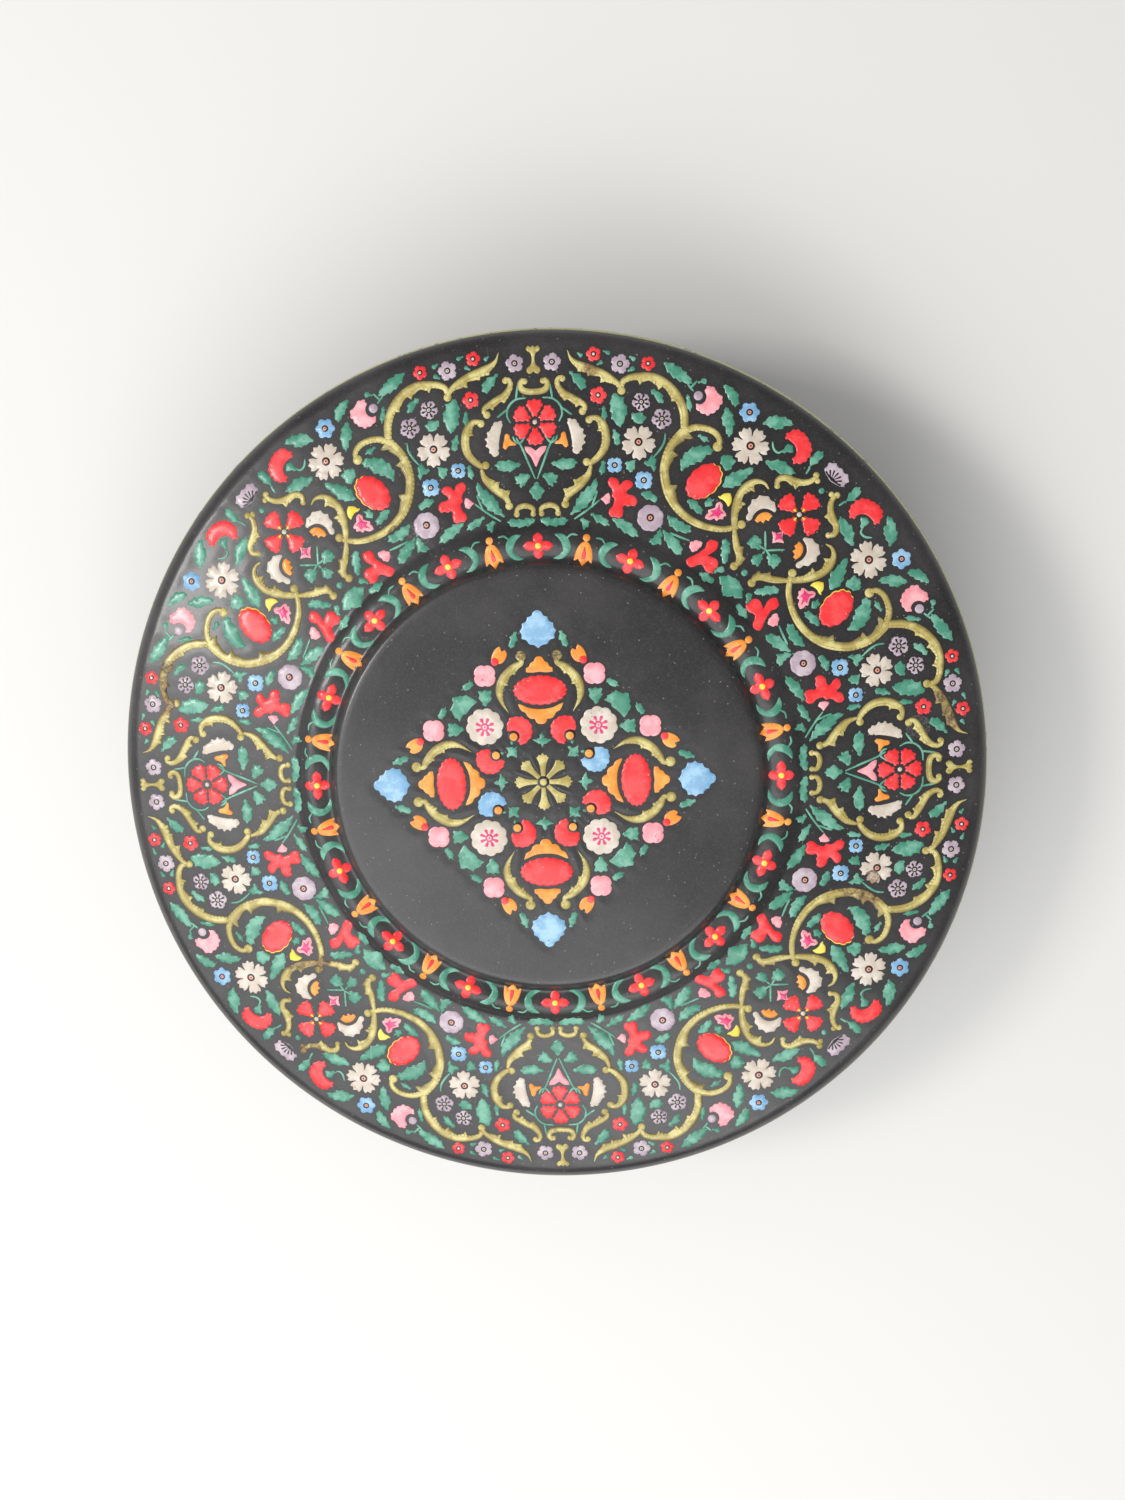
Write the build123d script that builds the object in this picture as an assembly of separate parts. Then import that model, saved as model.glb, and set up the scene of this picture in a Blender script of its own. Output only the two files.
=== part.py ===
from build123d import *
from math import atan2, cos, degrees, pi, radians, sin, sqrt, tan
import os

# A round tinplate tin with a slip-on lid, in millimetres.
# It stands on its base seam at z = 0, with its axis on +Z and its lock side seam at the back, -Y.
# Each piece is a section of plate spun about the axis. Round bends are short flats, worked out
# from their radius, so that every spun face is a plain cone, cylinder or disc. The main forms of
# the lid's ornament stand out of it in low relief, as few-sided bosses.

# ---- Driving dimensions ------------------------------------------------------------------

tin_gauge = 0.3              # thickness of the tinplate
lid_diameter = 254.0         # outside of the lid's skirt
tin_height = 76.0            # resting plane to the middle of the lid

# The drawn top of the lid, from the middle out. Each drop is measured down from the middle.
panel_radius = 61.7          # edge of the raised middle panel
groove_width = 1.8           # step down from the panel to the groove round it
groove_drop = 2.6
ring_rise_width = 4.6        # groove to the crest of the raised ring
ring_drop = 1.9
ring_fall_width = 5.2        # crest of the ring to the crease where the sloping band starts
crease_drop = 4.1
rim_drop = 10.0              # where band and skirt would meet without the shoulder
shoulder_radius = 6.0
shoulder_flat_count = 3
lid_depth = 32.0             # middle of the lid to the edge of the skirt

# The ornament's main forms. A place is a radius and an angle from +X, and a size is the extent
# away from the tin's axis and the extent across. What is on the band comes once in each quarter,
# the scroll with its mirror image, and so do the medallion's fruit and tip.
emboss_height = 0.35
scroll_place = (98.0, 59.2)      # centre of the large C-shaped scroll
scroll_radius = 14.8
scroll_width = 2.4
scroll_start = 65.0              # its upper end, in degrees from the direction away from the axis
scroll_turn = 163.5
scroll_flat_count = 5
round_blossom_place = (100.5, 0.0)
round_blossom_reach = 6.3        # centre of the flower to the tips of its six petals
square_blossom_place = (103.7, 45.0)
square_blossom_reach = 7.5       # centre of the flower to the tips of its four petals
square_blossom_valley = 3.4      # and to the valleys between them
medallion_shift = -0.8           # of the medallion along X, off the tin's axis
fruit_place = (26.3, 0.0)
fruit_size = (10.4, 14.8)
tip_place = (43.3, 0.0)
tip_reach = 5.0

# Hems, folded inward and pressed flat, and the slip fit.
lid_hem_depth = 2.6
mouth_hem_depth = 3.0
slip_clearance = 0.4         # lid hem to body wall, on the radius
mouth_clearance = 0.6        # mouth hem to the underside of the lid's shoulder
stop_bead_height = 1.2       # how far the bead under the lid's edge stands out of the wall
stop_bead_width = 4.2        # at its root
lid_seat_gap = 0.25          # lid hem to stop bead

# Double seam that joins the base to the wall.
seam_gap = 0.1               # between two neighbouring layers of folded plate
hook_length = 2.2            # straight depth of each of the two hooks
countersink = 4.0            # base panel above the resting plane

# Lock seam up the wall.
lock_width = 4.0
lock_joggle = 1.0            # length over which the inner strip steps down
lock_margin = 1.5            # plain wall kept each side of the fold
lock_angle = -90.0           # degrees round the wall from +X

# ---- Sizes that follow -------------------------------------------------------------------

lid_radius = lid_diameter / 2
lid_edge_z = tin_height - lid_depth
hem_thickness = 2 * tin_gauge
wall_radius = lid_radius - hem_thickness - slip_clearance
wall_inner_radius = wall_radius - tin_gauge
layer_pitch = tin_gauge + seam_gap

groove_radius = panel_radius + groove_width
ring_radius = groove_radius + ring_rise_width
crease_radius = ring_radius + ring_fall_width

# The shoulder is a round tangent to the sloping band and to the skirt.
band_angle = degrees(atan2(rim_drop - crease_drop, lid_radius - crease_radius))
shoulder_turn = 90 - band_angle
shoulder_tangent = shoulder_radius * (1 - sin(radians(band_angle))) / cos(radians(band_angle))
shoulder_centre = (lid_radius - shoulder_radius, tin_height - rim_drop - shoulder_tangent)

# The mouth stands under the inner face of the shoulder, where the wall meets it.
mouth_offset = wall_radius - shoulder_centre[0]
mouth_reach = shoulder_radius * cos(radians(shoulder_turn / shoulder_flat_count / 2)) - tin_gauge
mouth_z = shoulder_centre[1] + sqrt(mouth_reach ** 2 - mouth_offset ** 2) - mouth_clearance

# The hem's inner corner comes down on the bead's upper flank, slip_clearance out from the wall.
bead_flank_slope = stop_bead_width / 2 / stop_bead_height
bead_rest_height = stop_bead_width / 2 - bead_flank_slope * slip_clearance
stop_bead_z = lid_edge_z - lid_seat_gap - bead_rest_height

# Layers of the double seam, each by the radius of its outer face, and their heights.
chuck_wall_radius = wall_inner_radius - seam_gap
end_hook_radius = wall_radius + layer_pitch
body_hook_radius = end_hook_radius + layer_pitch
seam_radius = body_hook_radius + layer_pitch
body_fold_top = layer_pitch + tin_gauge
end_hook_tip = body_fold_top + seam_gap
body_hook_tip = body_fold_top + hook_length
seam_height = body_hook_tip + layer_pitch


# ---- Plate sections ----------------------------------------------------------------------

def rounded(centre, radius, start, turn, flats):
    """Points on an arc, angles in degrees from +X."""
    angles = [radians(start + turn * i / flats) for i in range(flats + 1)]
    return [(centre[0] + radius * cos(a), centre[1] + radius * sin(a)) for a in angles]


def strip(points, side):
    """Section of a strip of tinplate whose one face runs through the points."""
    return make_face(offset(Polyline(*points), amount=tin_gauge, kind=Kind.INTERSECTION, side=side))


def outline(points):
    return make_face(Polyline(*points, close=True))


def block(low, high):
    """Section of a rectangle between two opposite corners."""
    return outline([low, (high[0], low[1]), high, (low[0], high[1])])


def turned(section):
    return revolve(Plane.XZ * section, axis=Axis.Z)


# ---- Ornament ----------------------------------------------------------------------------

def around(reaches):
    """Points evenly round a centre, at each reach in turn, the first one on +X."""
    turns = [2 * pi * i / len(reaches) for i in range(len(reaches))]
    return [(reach * cos(turn), reach * sin(turn)) for reach, turn in zip(reaches, turns)]


def make_scroll():
    half = scroll_width / 2
    outer = rounded((0, 0), scroll_radius + half, scroll_start, scroll_turn, scroll_flat_count)
    inner = rounded((0, 0), scroll_radius - half, scroll_start, scroll_turn, scroll_flat_count)
    return outline(outer + inner[::-1])


def on_band(form, place, turn):
    """Lay a form on the outer face of the sloping band, its own +X pointing down the slope."""
    radius, angle = place
    height = tin_height - crease_drop - (radius - crease_radius) * tan(radians(band_angle))
    return Rot(0, 0, turn + angle) * Pos(radius, 0, height) * Rot(0, band_angle, 0) * form


def on_panel(form, place, turn):
    radius, angle = place
    return Pos(medallion_shift, 0, tin_height) * Rot(0, 0, turn + angle) * Pos(radius, 0) * form


def make_ornament():
    scroll = make_scroll()
    round_blossom = outline(around([round_blossom_reach] * 6))
    square_blossom = outline(around([square_blossom_reach, square_blossom_valley] * 4))
    fruit = outline([(fruit_size[0] / 2 * x, fruit_size[1] / 2 * y) for x, y in around([1] * 8)])
    tip = outline(around([tip_reach] * 4))
    forms = []
    for turn in (0, 90, 180, 270):
        forms += [
            on_band(scroll, scroll_place, turn),
            on_band(mirror(scroll, about=Plane.XZ), (scroll_place[0], -scroll_place[1]), turn),
            on_band(round_blossom, round_blossom_place, turn),
            on_band(square_blossom, square_blossom_place, turn),
            on_panel(fruit, fruit_place, turn),
            on_panel(tip, tip_place, turn),
        ]
    root = 0.8 * tin_gauge       # each boss starts inside the plate
    return [extrude(form, emboss_height) + extrude(form, -root) for form in forms]


# ---- Lid ---------------------------------------------------------------------------------

def make_lid():
    def top(radius, drop):
        return (radius, tin_height - drop)

    drawn = [
        top(0, 0),
        top(panel_radius, 0),
        top(groove_radius, groove_drop),
        top(ring_radius, ring_drop),
        top(crease_radius, crease_drop),
    ]
    drawn += rounded(shoulder_centre, shoulder_radius, shoulder_turn, -shoulder_turn, shoulder_flat_count)
    drawn += [(lid_radius, lid_edge_z)]
    hem = block(
        (lid_radius - hem_thickness, lid_edge_z),
        (lid_radius, lid_edge_z + lid_hem_depth),
    )
    return turned(strip(drawn, Side.RIGHT) + hem) + make_ornament()


# ---- Body wall ---------------------------------------------------------------------------

def make_lock_section():
    """The two strip ends hooked into each other, drawn flat along the wall and bent to it."""
    half = lock_width / 2
    span = half + seam_gap + lock_joggle + lock_margin
    joggle_lap = tin_gauge * tan(atan2(3 * layer_pitch, lock_joggle) / 2)
    joggle_foot = half + seam_gap
    joggle_head = joggle_foot + lock_joggle

    def depth(layer):
        return (layer - 1) * layer_pitch

    def on_wall(along, inward):
        angle = radians(lock_angle) + along / wall_radius
        return ((wall_radius - inward) * cos(angle), (wall_radius - inward) * sin(angle))

    outer_hook = [
        (-span, 0),
        (half, 0),
        (half, depth(3) + tin_gauge),
        (-half + layer_pitch, depth(3) + tin_gauge),
        (-half + layer_pitch, depth(3)),
        (half - tin_gauge, depth(3)),
        (half - tin_gauge, tin_gauge),
        (-span, tin_gauge),
    ]
    inner_hook = [
        (span, 0),
        (joggle_head, 0),
        (joggle_foot, depth(4)),
        (-half + tin_gauge, depth(4)),
        (-half + tin_gauge, depth(2) + tin_gauge),
        (half - layer_pitch, depth(2) + tin_gauge),
        (half - layer_pitch, depth(2)),
        (-half, depth(2)),
        (-half, depth(4) + tin_gauge),
        (joggle_foot + joggle_lap, depth(4) + tin_gauge),
        (joggle_head + joggle_lap, tin_gauge),
        (span, tin_gauge),
    ]
    hooks = [outline([on_wall(*point) for point in hook]) for hook in (outer_hook, inner_hook)]
    gap_corners = [(-span, -seam_gap), (span, -seam_gap), (span, layer_pitch), (-span, layer_pitch)]
    return hooks, outline([on_wall(*corner) for corner in gap_corners])


def make_body_wall():
    bead_top = stop_bead_z + stop_bead_width / 2
    bead_foot = stop_bead_z - stop_bead_width / 2
    bead_radius = wall_radius + stop_bead_height
    hook_inner_radius = body_hook_radius - tin_gauge
    outer_face = [
        (wall_radius, mouth_z),
        (wall_radius, bead_top),
        (bead_radius, stop_bead_z),
        (wall_radius, bead_foot),
        (wall_radius, body_fold_top),
        (hook_inner_radius, body_fold_top),
        (hook_inner_radius, body_hook_tip),
    ]
    hem = block(
        (wall_radius - hem_thickness, mouth_z - mouth_hem_depth),
        (wall_radius, mouth_z),
    )
    wall = turned(strip(outer_face, Side.RIGHT) + hem)

    hooks, gap = make_lock_section()
    plain_stretches = [
        (seam_height + lock_margin, bead_foot - lock_margin),
        (bead_top + lock_margin, mouth_z - mouth_hem_depth - lock_margin),
    ]
    for low, high in plain_stretches:
        wall -= extrude(Pos(0, 0, low) * gap, high - low)
        for hook in hooks:
            wall += extrude(Pos(0, 0, low) * hook, high - low)
    return wall


# ---- Base --------------------------------------------------------------------------------

def make_base():
    chuck_radius = chuck_wall_radius - tin_gauge
    hook_face_radius = end_hook_radius - tin_gauge
    outer_face = [
        (0, countersink),
        (chuck_radius, countersink),
        (chuck_radius, 0),
        (seam_radius, 0),
        (seam_radius, seam_height),
        (hook_face_radius, seam_height),
        (hook_face_radius, end_hook_tip),
    ]
    return turned(strip(outer_face, Side.LEFT))


# ---- Write the pieces --------------------------------------------------------------------

if __name__ == "__main__":
    os.makedirs("parts", exist_ok=True)
    pieces = {
        "lid": make_lid(),
        "body_wall": make_body_wall(),
        "base": make_base(),
    }
    for node, piece in pieces.items():
        export_step(piece, f"parts/{node}.step")
        print(node, round(piece.volume), "mm3")
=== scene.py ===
import math

import bpy
import bmesh
import numpy as np
from mathutils import Matrix, Vector
from mathutils.geometry import delaunay_2d_cdt
from mathutils.kdtree import KDTree


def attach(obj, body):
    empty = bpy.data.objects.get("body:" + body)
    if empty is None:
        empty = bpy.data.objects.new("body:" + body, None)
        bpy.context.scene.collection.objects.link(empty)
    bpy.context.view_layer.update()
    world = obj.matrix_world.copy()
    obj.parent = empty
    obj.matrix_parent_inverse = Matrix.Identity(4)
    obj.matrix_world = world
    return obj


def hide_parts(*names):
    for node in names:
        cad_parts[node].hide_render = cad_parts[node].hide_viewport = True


# Embossed round tin with a slip-on lid. Every size below is in millimetres on the CAD axes
# (base seam on z = 0, axis on +Z, lock seam at -Y); meshes are written in metres.
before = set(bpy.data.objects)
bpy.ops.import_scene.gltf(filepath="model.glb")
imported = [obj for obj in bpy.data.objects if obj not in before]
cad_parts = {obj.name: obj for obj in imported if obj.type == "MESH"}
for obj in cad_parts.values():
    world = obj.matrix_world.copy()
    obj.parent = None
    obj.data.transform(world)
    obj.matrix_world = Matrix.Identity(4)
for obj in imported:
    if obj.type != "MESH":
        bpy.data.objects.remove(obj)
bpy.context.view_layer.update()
mm = 0.001
fullTurn = 2 * math.pi


def ink(red, green, blue):
    # a printed colour given as it is seen on screen, 0 to 255
    def linear(value):
        value /= 255
        return value / 12.92 if value <= 0.04045 else ((value + 0.055) / 1.055) ** 2.4
    return (linear(red), linear(green), linear(blue), 1)


# view, floor and light

view = {
    "place": (34.46, 83.74, 497.93),
    "right": (0.99737, -0.0349, -0.06352),
    "up": (0.02325, 0.98418, -0.17564),
    "lens": 36.24,
    "sensor": 36,
}
studio = {
    "floorInk": (222, 220, 216),
    "floorReach": 4.0,  # metres, from the middle to each side
    "fill": 0.56,
    "ceiling": 0.14,
    # place, aim, size, turn about the lamp's own axis, power
    "lamps": {
        "sideWindow": ((-818, 174, 1147), (0, 0, 60), (290, 320), 0, 6.8),
        "leftWall": ((-1200, 50, 420), (0, 0, 60), (900, 420), 0, 1.0),
        "lowWall": ((-202, -442, 1000), (-202, -441, 0), (1400, 450), -36, 5.8),
        "southWall": ((-330, -880, 1080), (0, 0, 60), (1700, 520), 0, 6.0),
    },
}


class Tree:
    # wraps a node tree, so that a shader reads as a list of sums
    def __init__(self, nodeTree):
        self.nodeTree = nodeTree

    def node(self, kind, settings=None, out=0, **values):
        made = self.nodeTree.nodes.new(kind)
        for name, value in (settings or {}).items():
            if name == "stops":
                ramp = made.color_ramp
                while len(ramp.elements) < len(value):
                    ramp.elements.new(0.5)
                for element, (place, colour) in zip(ramp.elements, value):
                    element.position, element.color = place, colour
            else:
                setattr(made, name, value)
        for name, value in values.items():
            key = int(name[1:]) if name[0] == "i" and name[1:].isdigit() else name.replace("_", " ")
            socket = made.inputs[key]
            if isinstance(value, Wire):
                self.nodeTree.links.new(value.socket, socket)
            else:
                socket.default_value = value
        return Wire(self, made.outputs[out]) if len(made.outputs) else made

    def blend(self, factor, low, high):
        # mixes two colours; 6 and 7 are the Mix node's colour sockets
        return self.node("ShaderNodeMix", {"data_type": "RGBA"}, 2, i0=factor, i6=low, i7=high)

    def stored(self, name):
        # a value kept on the mesh's points
        return self.node("ShaderNodeAttribute", {"attribute_name": name}, 2)


class Wire:
    # one value socket, with the arithmetic that the finishes use
    def __init__(self, tree, socket):
        self.tree, self.socket = tree, socket

    def maths(self, operation, *values, clamp=False):
        named = {f"i{i}": value for i, value in enumerate(values)}
        return self.tree.node("ShaderNodeMath", {"operation": operation, "use_clamp": clamp}, **named)

    def __add__(self, other):
        return self.maths("ADD", self, other)

    def __radd__(self, other):
        return self.maths("ADD", other, self)

    def __sub__(self, other):
        return self.maths("SUBTRACT", self, other)

    def __rsub__(self, other):
        return self.maths("SUBTRACT", other, self)

    def __mul__(self, other):
        return self.maths("MULTIPLY", self, other)

    def __rmul__(self, other):
        return self.maths("MULTIPLY", other, self)

    def __truediv__(self, other):
        return self.maths("DIVIDE", self, other)

    def __pow__(self, other):
        return self.maths("POWER", self, other)

    def most(self, other):
        return self.maths("MAXIMUM", self, other)

    def size(self):
        return self.maths("ABSOLUTE", self)

    def wave(self):
        return self.maths("SINE", self)

    def ease(self, low, high):
        # 0 below low, 1 above high, smooth between
        return self.tree.node("ShaderNodeMapRange", {"interpolation_type": "SMOOTHSTEP"},
                              i0=self, i1=low, i2=high, i3=0.0, i4=1.0)


def setView():
    camera = bpy.data.cameras.new("mainCamera")
    camera.sensor_fit = "AUTO"
    camera.sensor_width = camera.sensor_height = view["sensor"]
    camera.lens = view["lens"]
    camera.clip_start, camera.clip_end = 0.02, 20
    holder = bpy.data.objects.new("mainCamera", camera)
    bpy.context.scene.collection.objects.link(holder)
    right = Vector(view["right"]).normalized()
    up = (Vector(view["up"]) - right * right.dot(Vector(view["up"]))).normalized()
    turn = Matrix((right, up, right.cross(up))).transposed().to_4x4()
    holder.matrix_world = Matrix.Translation(Vector(view["place"]) * mm) @ turn
    bpy.context.scene.camera = holder


def setStudio():
    scene = bpy.context.scene
    scene.view_settings.view_transform = "Standard"
    world = bpy.data.worlds.new("studioRoom")
    world.use_nodes = True
    world.node_tree.nodes.clear()
    tree = Tree(world.node_tree)
    path = tree.node("ShaderNodeLightPath", out=0)
    glossy = tree.node("ShaderNodeLightPath", out=3)
    through = tree.node("ShaderNodeLightPath", out=6)
    level = path.most(through) * 0.9 + glossy * studio["ceiling"]
    level = level + (1 - path.most(through).most(glossy)) * studio["fill"]
    shade = tree.node("ShaderNodeBackground", Color=(0.97, 0.985, 1, 1), Strength=level)
    tree.node("ShaderNodeOutputWorld", Surface=shade)
    scene.world = world

    for name, (spot, aim, size, turn, power) in studio["lamps"].items():
        light = bpy.data.lights.new(name, "AREA")
        light.shape = "RECTANGLE"
        light.size, light.size_y = (side * mm for side in size)
        light.energy = power
        light.color = (1, 0.985, 0.965) if name.endswith("Window") else (0.97, 0.985, 1)
        lamp = bpy.data.objects.new(name, light)
        scene.collection.objects.link(lamp)
        lamp.location = Vector(spot) * mm
        facing = ((Vector(aim) - Vector(spot)) * mm).to_track_quat("-Z", "Y").to_matrix()
        lamp.rotation_euler = (facing @ Matrix.Rotation(math.radians(turn), 3, "Z")).to_euler()

    sheet = bpy.data.meshes.new("studioFloor")
    reach = studio["floorReach"]
    corners = [(-reach, -reach, 0), (reach, -reach, 0), (reach, reach, 0), (-reach, reach, 0)]
    sheet.from_pydata(corners, [], [(0, 1, 2, 3)])
    floor = bpy.data.objects.new("studioFloor", sheet)
    scene.collection.objects.link(floor)
    paint = bpy.data.materials.new("floorPaint")
    paint.use_nodes = True
    shader = paint.node_tree.nodes["Principled BSDF"]
    shader.inputs["Base Color"].default_value = ink(*studio["floorInk"])
    shader.inputs["Roughness"].default_value = 0.9
    sheet.materials.append(paint)


setView()
setStudio()
print("view and studio set")


# finishes

def startFinish(name, roughness, coat=0.0, metallic=0.0):
    finish = bpy.data.materials.new(name)
    finish.use_nodes = True
    finish.node_tree.nodes.clear()
    tree = Tree(finish.node_tree)
    shader = finish.node_tree.nodes.new("ShaderNodeBsdfPrincipled")
    output = finish.node_tree.nodes.new("ShaderNodeOutputMaterial")
    finish.node_tree.links.new(shader.outputs[0], output.inputs[0])
    shader.inputs["Roughness"].default_value = roughness
    shader.inputs["Metallic"].default_value = metallic
    shader.inputs["Coat Weight"].default_value = coat
    shader.inputs["Coat Roughness"].default_value = 0.12
    shader.inputs["Specular IOR Level"].default_value = 0.42
    place = tree.node("ShaderNodeTexCoord", out=3)
    return finish, tree, shader, place


def feed(tree, shader, **wires):
    for name, wire in wires.items():
        tree.nodeTree.links.new(wire.socket, shader.inputs[name.replace("_", " ")])


def grain(tree, place, perMetre, detail=3.0, rough=0.55):
    return tree.node("ShaderNodeTexNoise", Vector=place, Scale=perMetre, Detail=detail, Roughness=rough)


def specks(tree, place, perMetre, size, share):
    # scattered dots: 1 inside a dot, 0 outside; share is how many cells hold one
    gap = tree.node("ShaderNodeTexVoronoi", Vector=place, Scale=perMetre)
    cell = tree.node("ShaderNodeTexVoronoi", out=1, Vector=place, Scale=perMetre)
    chance = tree.node("ShaderNodeSeparateColor", Color=cell)
    return (1 - gap.ease(size * 0.6, size)) * (1 - chance.ease(share, share + 0.02))


def scratches(tree, place, turn, perMetre, share):
    # thin straight marks: a grain drawn out along one direction
    drawn = tree.node("ShaderNodeMapping", Vector=place, Rotation=(0, 0, turn), Scale=(1, 0.028, 1))
    line = grain(tree, drawn, perMetre, 2.0, 0.5)
    patchy = grain(tree, place, 24, 2.0)
    return line.ease(1 - share, 1.015 - share) * patchy.ease(0.52, 0.62)


def wornAt(tree, place, spots):
    # 1 where a worn patch is, ragged at its edge; spots are x, y and radius
    flat = tree.node("ShaderNodeVectorMath", {"operation": "MULTIPLY"}, 0, i0=place, i1=(1, 1, 0))
    ragged = grain(tree, place, 520, 4.0, 0.7)
    worn = ragged * 0
    for x, y, radius in spots:
        gap = tree.node("ShaderNodeVectorMath", {"operation": "DISTANCE"}, 1, i0=flat, i1=(x * mm, y * mm, 0))
        worn = worn.most(1 - gap.ease(radius * 0.45 * mm, radius * mm))
    return (worn + ragged * 0.9).ease(0.85, 1.1) * worn.ease(0.02, 0.1)


def makeEnamel(name, body, light, darkInkAndShade, spots=(), ribbon=False):
    # printed and varnished ink on an embossed motif, with painted highlight on its top and painted shade at
    # its sunk edge
    finish, tree, shader, place = startFinish(name, 0.38, coat=0.3)
    rim, crown = tree.stored("rim"), tree.stored("crown")
    cloud = grain(tree, place, 240, 4.0, 0.6)
    fine = grain(tree, place, 2600, 3.0, 0.6)
    # painted highlight: lighter toward each motif's raised top, plus random cloudy mottling
    colour = tree.blend((crown * 0.4 + cloud.ease(0.42, 0.62) * 0.75 - 0.15).most(0), body, light)
    if ribbon:
        # a painted-shade flank on one side of the ribbon, engraved lines along the ribbon and short hatching
        # between them
        across, run = tree.stored("across"), tree.stored("run")
        shadedFlank = across.ease(0.1, 0.9) * 0.6
        reach = across.size()
        line = (1 - (reach - 0.42).size().ease(0.03, 0.09)) * grain(tree, place, 300, 2.0).ease(0.4, 0.5)
        stroke = (run * 5.2 + across * 2.2).wave().ease(0.55, 0.9)
        hatch = stroke * reach.ease(0.4, 0.7) * grain(tree, place, 190, 2.0).ease(0.42, 0.52)
        colour = tree.blend(shadedFlank.most(line * 0.55).most(hatch * 0.75), colour, darkInkAndShade)
    colour = tree.blend(fine.ease(0.42, 0.8) * 0.14, colour, darkInkAndShade)
    # painted shade at each motif's sunk edge, also standing for a thin printed outline
    colour = tree.blend((1 - rim.ease(0.0, 0.34)) * 0.75, colour, darkInkAndShade)
    dust = specks(tree, place, 480, 0.13, 0.16)
    rubbed = grain(tree, place, 900, 5.0, 0.7).ease(0.61, 0.66) * grain(tree, place, 60, 2.0).ease(0.5, 0.6)
    scuff = scratches(tree, place, 0.6, 900, 0.30)
    colour = tree.blend((dust * 0.45).most(scuff * 0.2), colour, ink(205, 200, 190))
    colour = tree.blend(rubbed * 0.6, colour, ink(84, 76, 66))
    if spots:
        worn = wornAt(tree, place, spots)
        rust = grain(tree, place, 420, 4.0, 0.65).ease(0.35, 0.65)
        mottle = grain(tree, place, 760, 4.0, 0.75).ease(0.4, 0.56)
        shade = tree.blend(rust, ink(72, 56, 42), ink(146, 112, 76))
        colour = tree.blend(worn * (mottle * 0.6 + 0.32), colour, shade)
        rubbed = rubbed.most(worn)
    height = fine * 0.5 + cloud * 0.8 - scuff * 0.3 - rubbed * 0.5
    bump = tree.node("ShaderNodeBump", Strength=0.22, Distance=0.0002, Height=height)
    dull = 0.36 + cloud * 0.16 + rubbed * 0.3 + dust * 0.3
    feed(tree, shader, Base_Color=colour, Roughness=dull, Normal=bump)
    return finish


def makeLacquer(name, base, haze, hazeShare=0.3, speckShare=0.3, printed=False):
    # black lacquer over tin, with settled dust and handling marks
    finish, tree, shader, place = startFinish(name, 0.36, coat=0.22)
    cloud = grain(tree, place, 34, 4.0, 0.6)
    fine = grain(tree, place, 1900, 4.0, 0.65)
    colour = tree.blend(cloud.ease(0.35, 0.75) * hazeShare, base, haze)
    colour = tree.blend(fine.ease(0.45, 0.8) * 0.4, colour, haze)
    dust = specks(tree, place, 620, 0.16, speckShare)
    dust = dust.most(specks(tree, place, 210, 0.07, speckShare * 0.5))
    scuff = scratches(tree, place, 0.9, 1500, 0.27).most(scratches(tree, place, 2.6, 1900, 0.26))
    height = fine * 0.5 + cloud * 1.2 + dust * 0.4 - scuff * 0.4
    if printed:
        # painted shade beside the motifs where the ground sinks round them, dusty in two places, and a thin
        # pale line painted round the shoulder as the edge's grazing reflection
        # painted shade: darker where the ground lies near a motif
        colour = tree.blend(tree.stored("near").ease(0.3, 1.0) * 0.24, colour, ink(30, 28, 29))
        dusty = wornAt(tree, place, dustySpots) * grain(tree, place, 2200, 3.0, 0.7).ease(0.46, 0.62)
        colour = tree.blend(dusty * 0.4, colour, ink(132, 130, 124))
        # painted reflection: a thin pale yellow-green line round the shoulder, standing for the edge's
        # grazing reflection
        level = tree.node("ShaderNodeSeparateXYZ", out=2, Vector=place)
        paintedEdgeGlint = level.ease(0.061, 0.0612) * (1 - level.ease(0.0633, 0.0635))
        paintedEdgeGlint = paintedEdgeGlint * 0.8 * grain(tree, place, 500, 3.0).ease(0.3, 0.45)
        colour = tree.blend(paintedEdgeGlint, colour, ink(186, 190, 108))
    colour = tree.blend((dust * 0.4).most(scuff * 0.1), colour, ink(158, 156, 150))
    bump = tree.node("ShaderNodeBump", Strength=0.2, Distance=0.0002, Height=height)
    dull = 0.3 + cloud * 0.12 + dust * 0.3 + scuff * 0.15
    feed(tree, shader, Base_Color=colour, Roughness=dull, Normal=bump)
    return finish


def makeBareTin():
    # inside of the tin: bright plate under a thin gold varnish, with rolling grain and a few rust freckles
    finish, tree, shader, place = startFinish("goldVarnishedTin", 0.3, coat=0.2, metallic=1.0)
    rolled = tree.node("ShaderNodeMapping", Vector=place, Scale=(1, 0.06, 1))
    grainLine = grain(tree, rolled, 1500, 3.0, 0.6)
    cloud = grain(tree, place, 45, 4.0, 0.6)
    rust = grain(tree, place, 700, 5.0, 0.7).ease(0.66, 0.72) * cloud.ease(0.5, 0.62)
    colour = tree.blend(cloud, ink(196, 176, 128), ink(214, 204, 176))
    colour = tree.blend(grainLine * 0.3, colour, ink(168, 150, 110))
    colour = tree.blend(rust * 0.8, colour, ink(104, 66, 36))
    bump = tree.node("ShaderNodeBump", Strength=0.15, Distance=0.0001, Height=grainLine + rust)
    dull = 0.26 + grainLine * 0.12 + cloud * 0.1 + rust * 0.4
    feed(tree, shader, Base_Color=colour, Roughness=dull, Metallic=1 - rust * 0.9, Normal=bump)
    return finish


# where the print is rubbed away and where dust lies: x, y and radius, in millimetres
wornSpots = {
    "gold": [(-110, 31.1, 8), (-113, 25, 6), (110.8, 18.1, 6), (113, 13, 6), (92.4, -35.4, 6), (99, -37, 5),
             (86, -34, 4), (-76, -57, 6), (-70, -55, 4), (-40, 71, 4), (-5.5, 37, 2.6), (3.9, 36.5, 2.6),
             (16, 115, 3), (-75.7, -81.9, 5)],
    "cream": [(93, -31.5, 3)],
}
dustySpots = [(-34, 71, 5), (106, 12, 5)]
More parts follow.
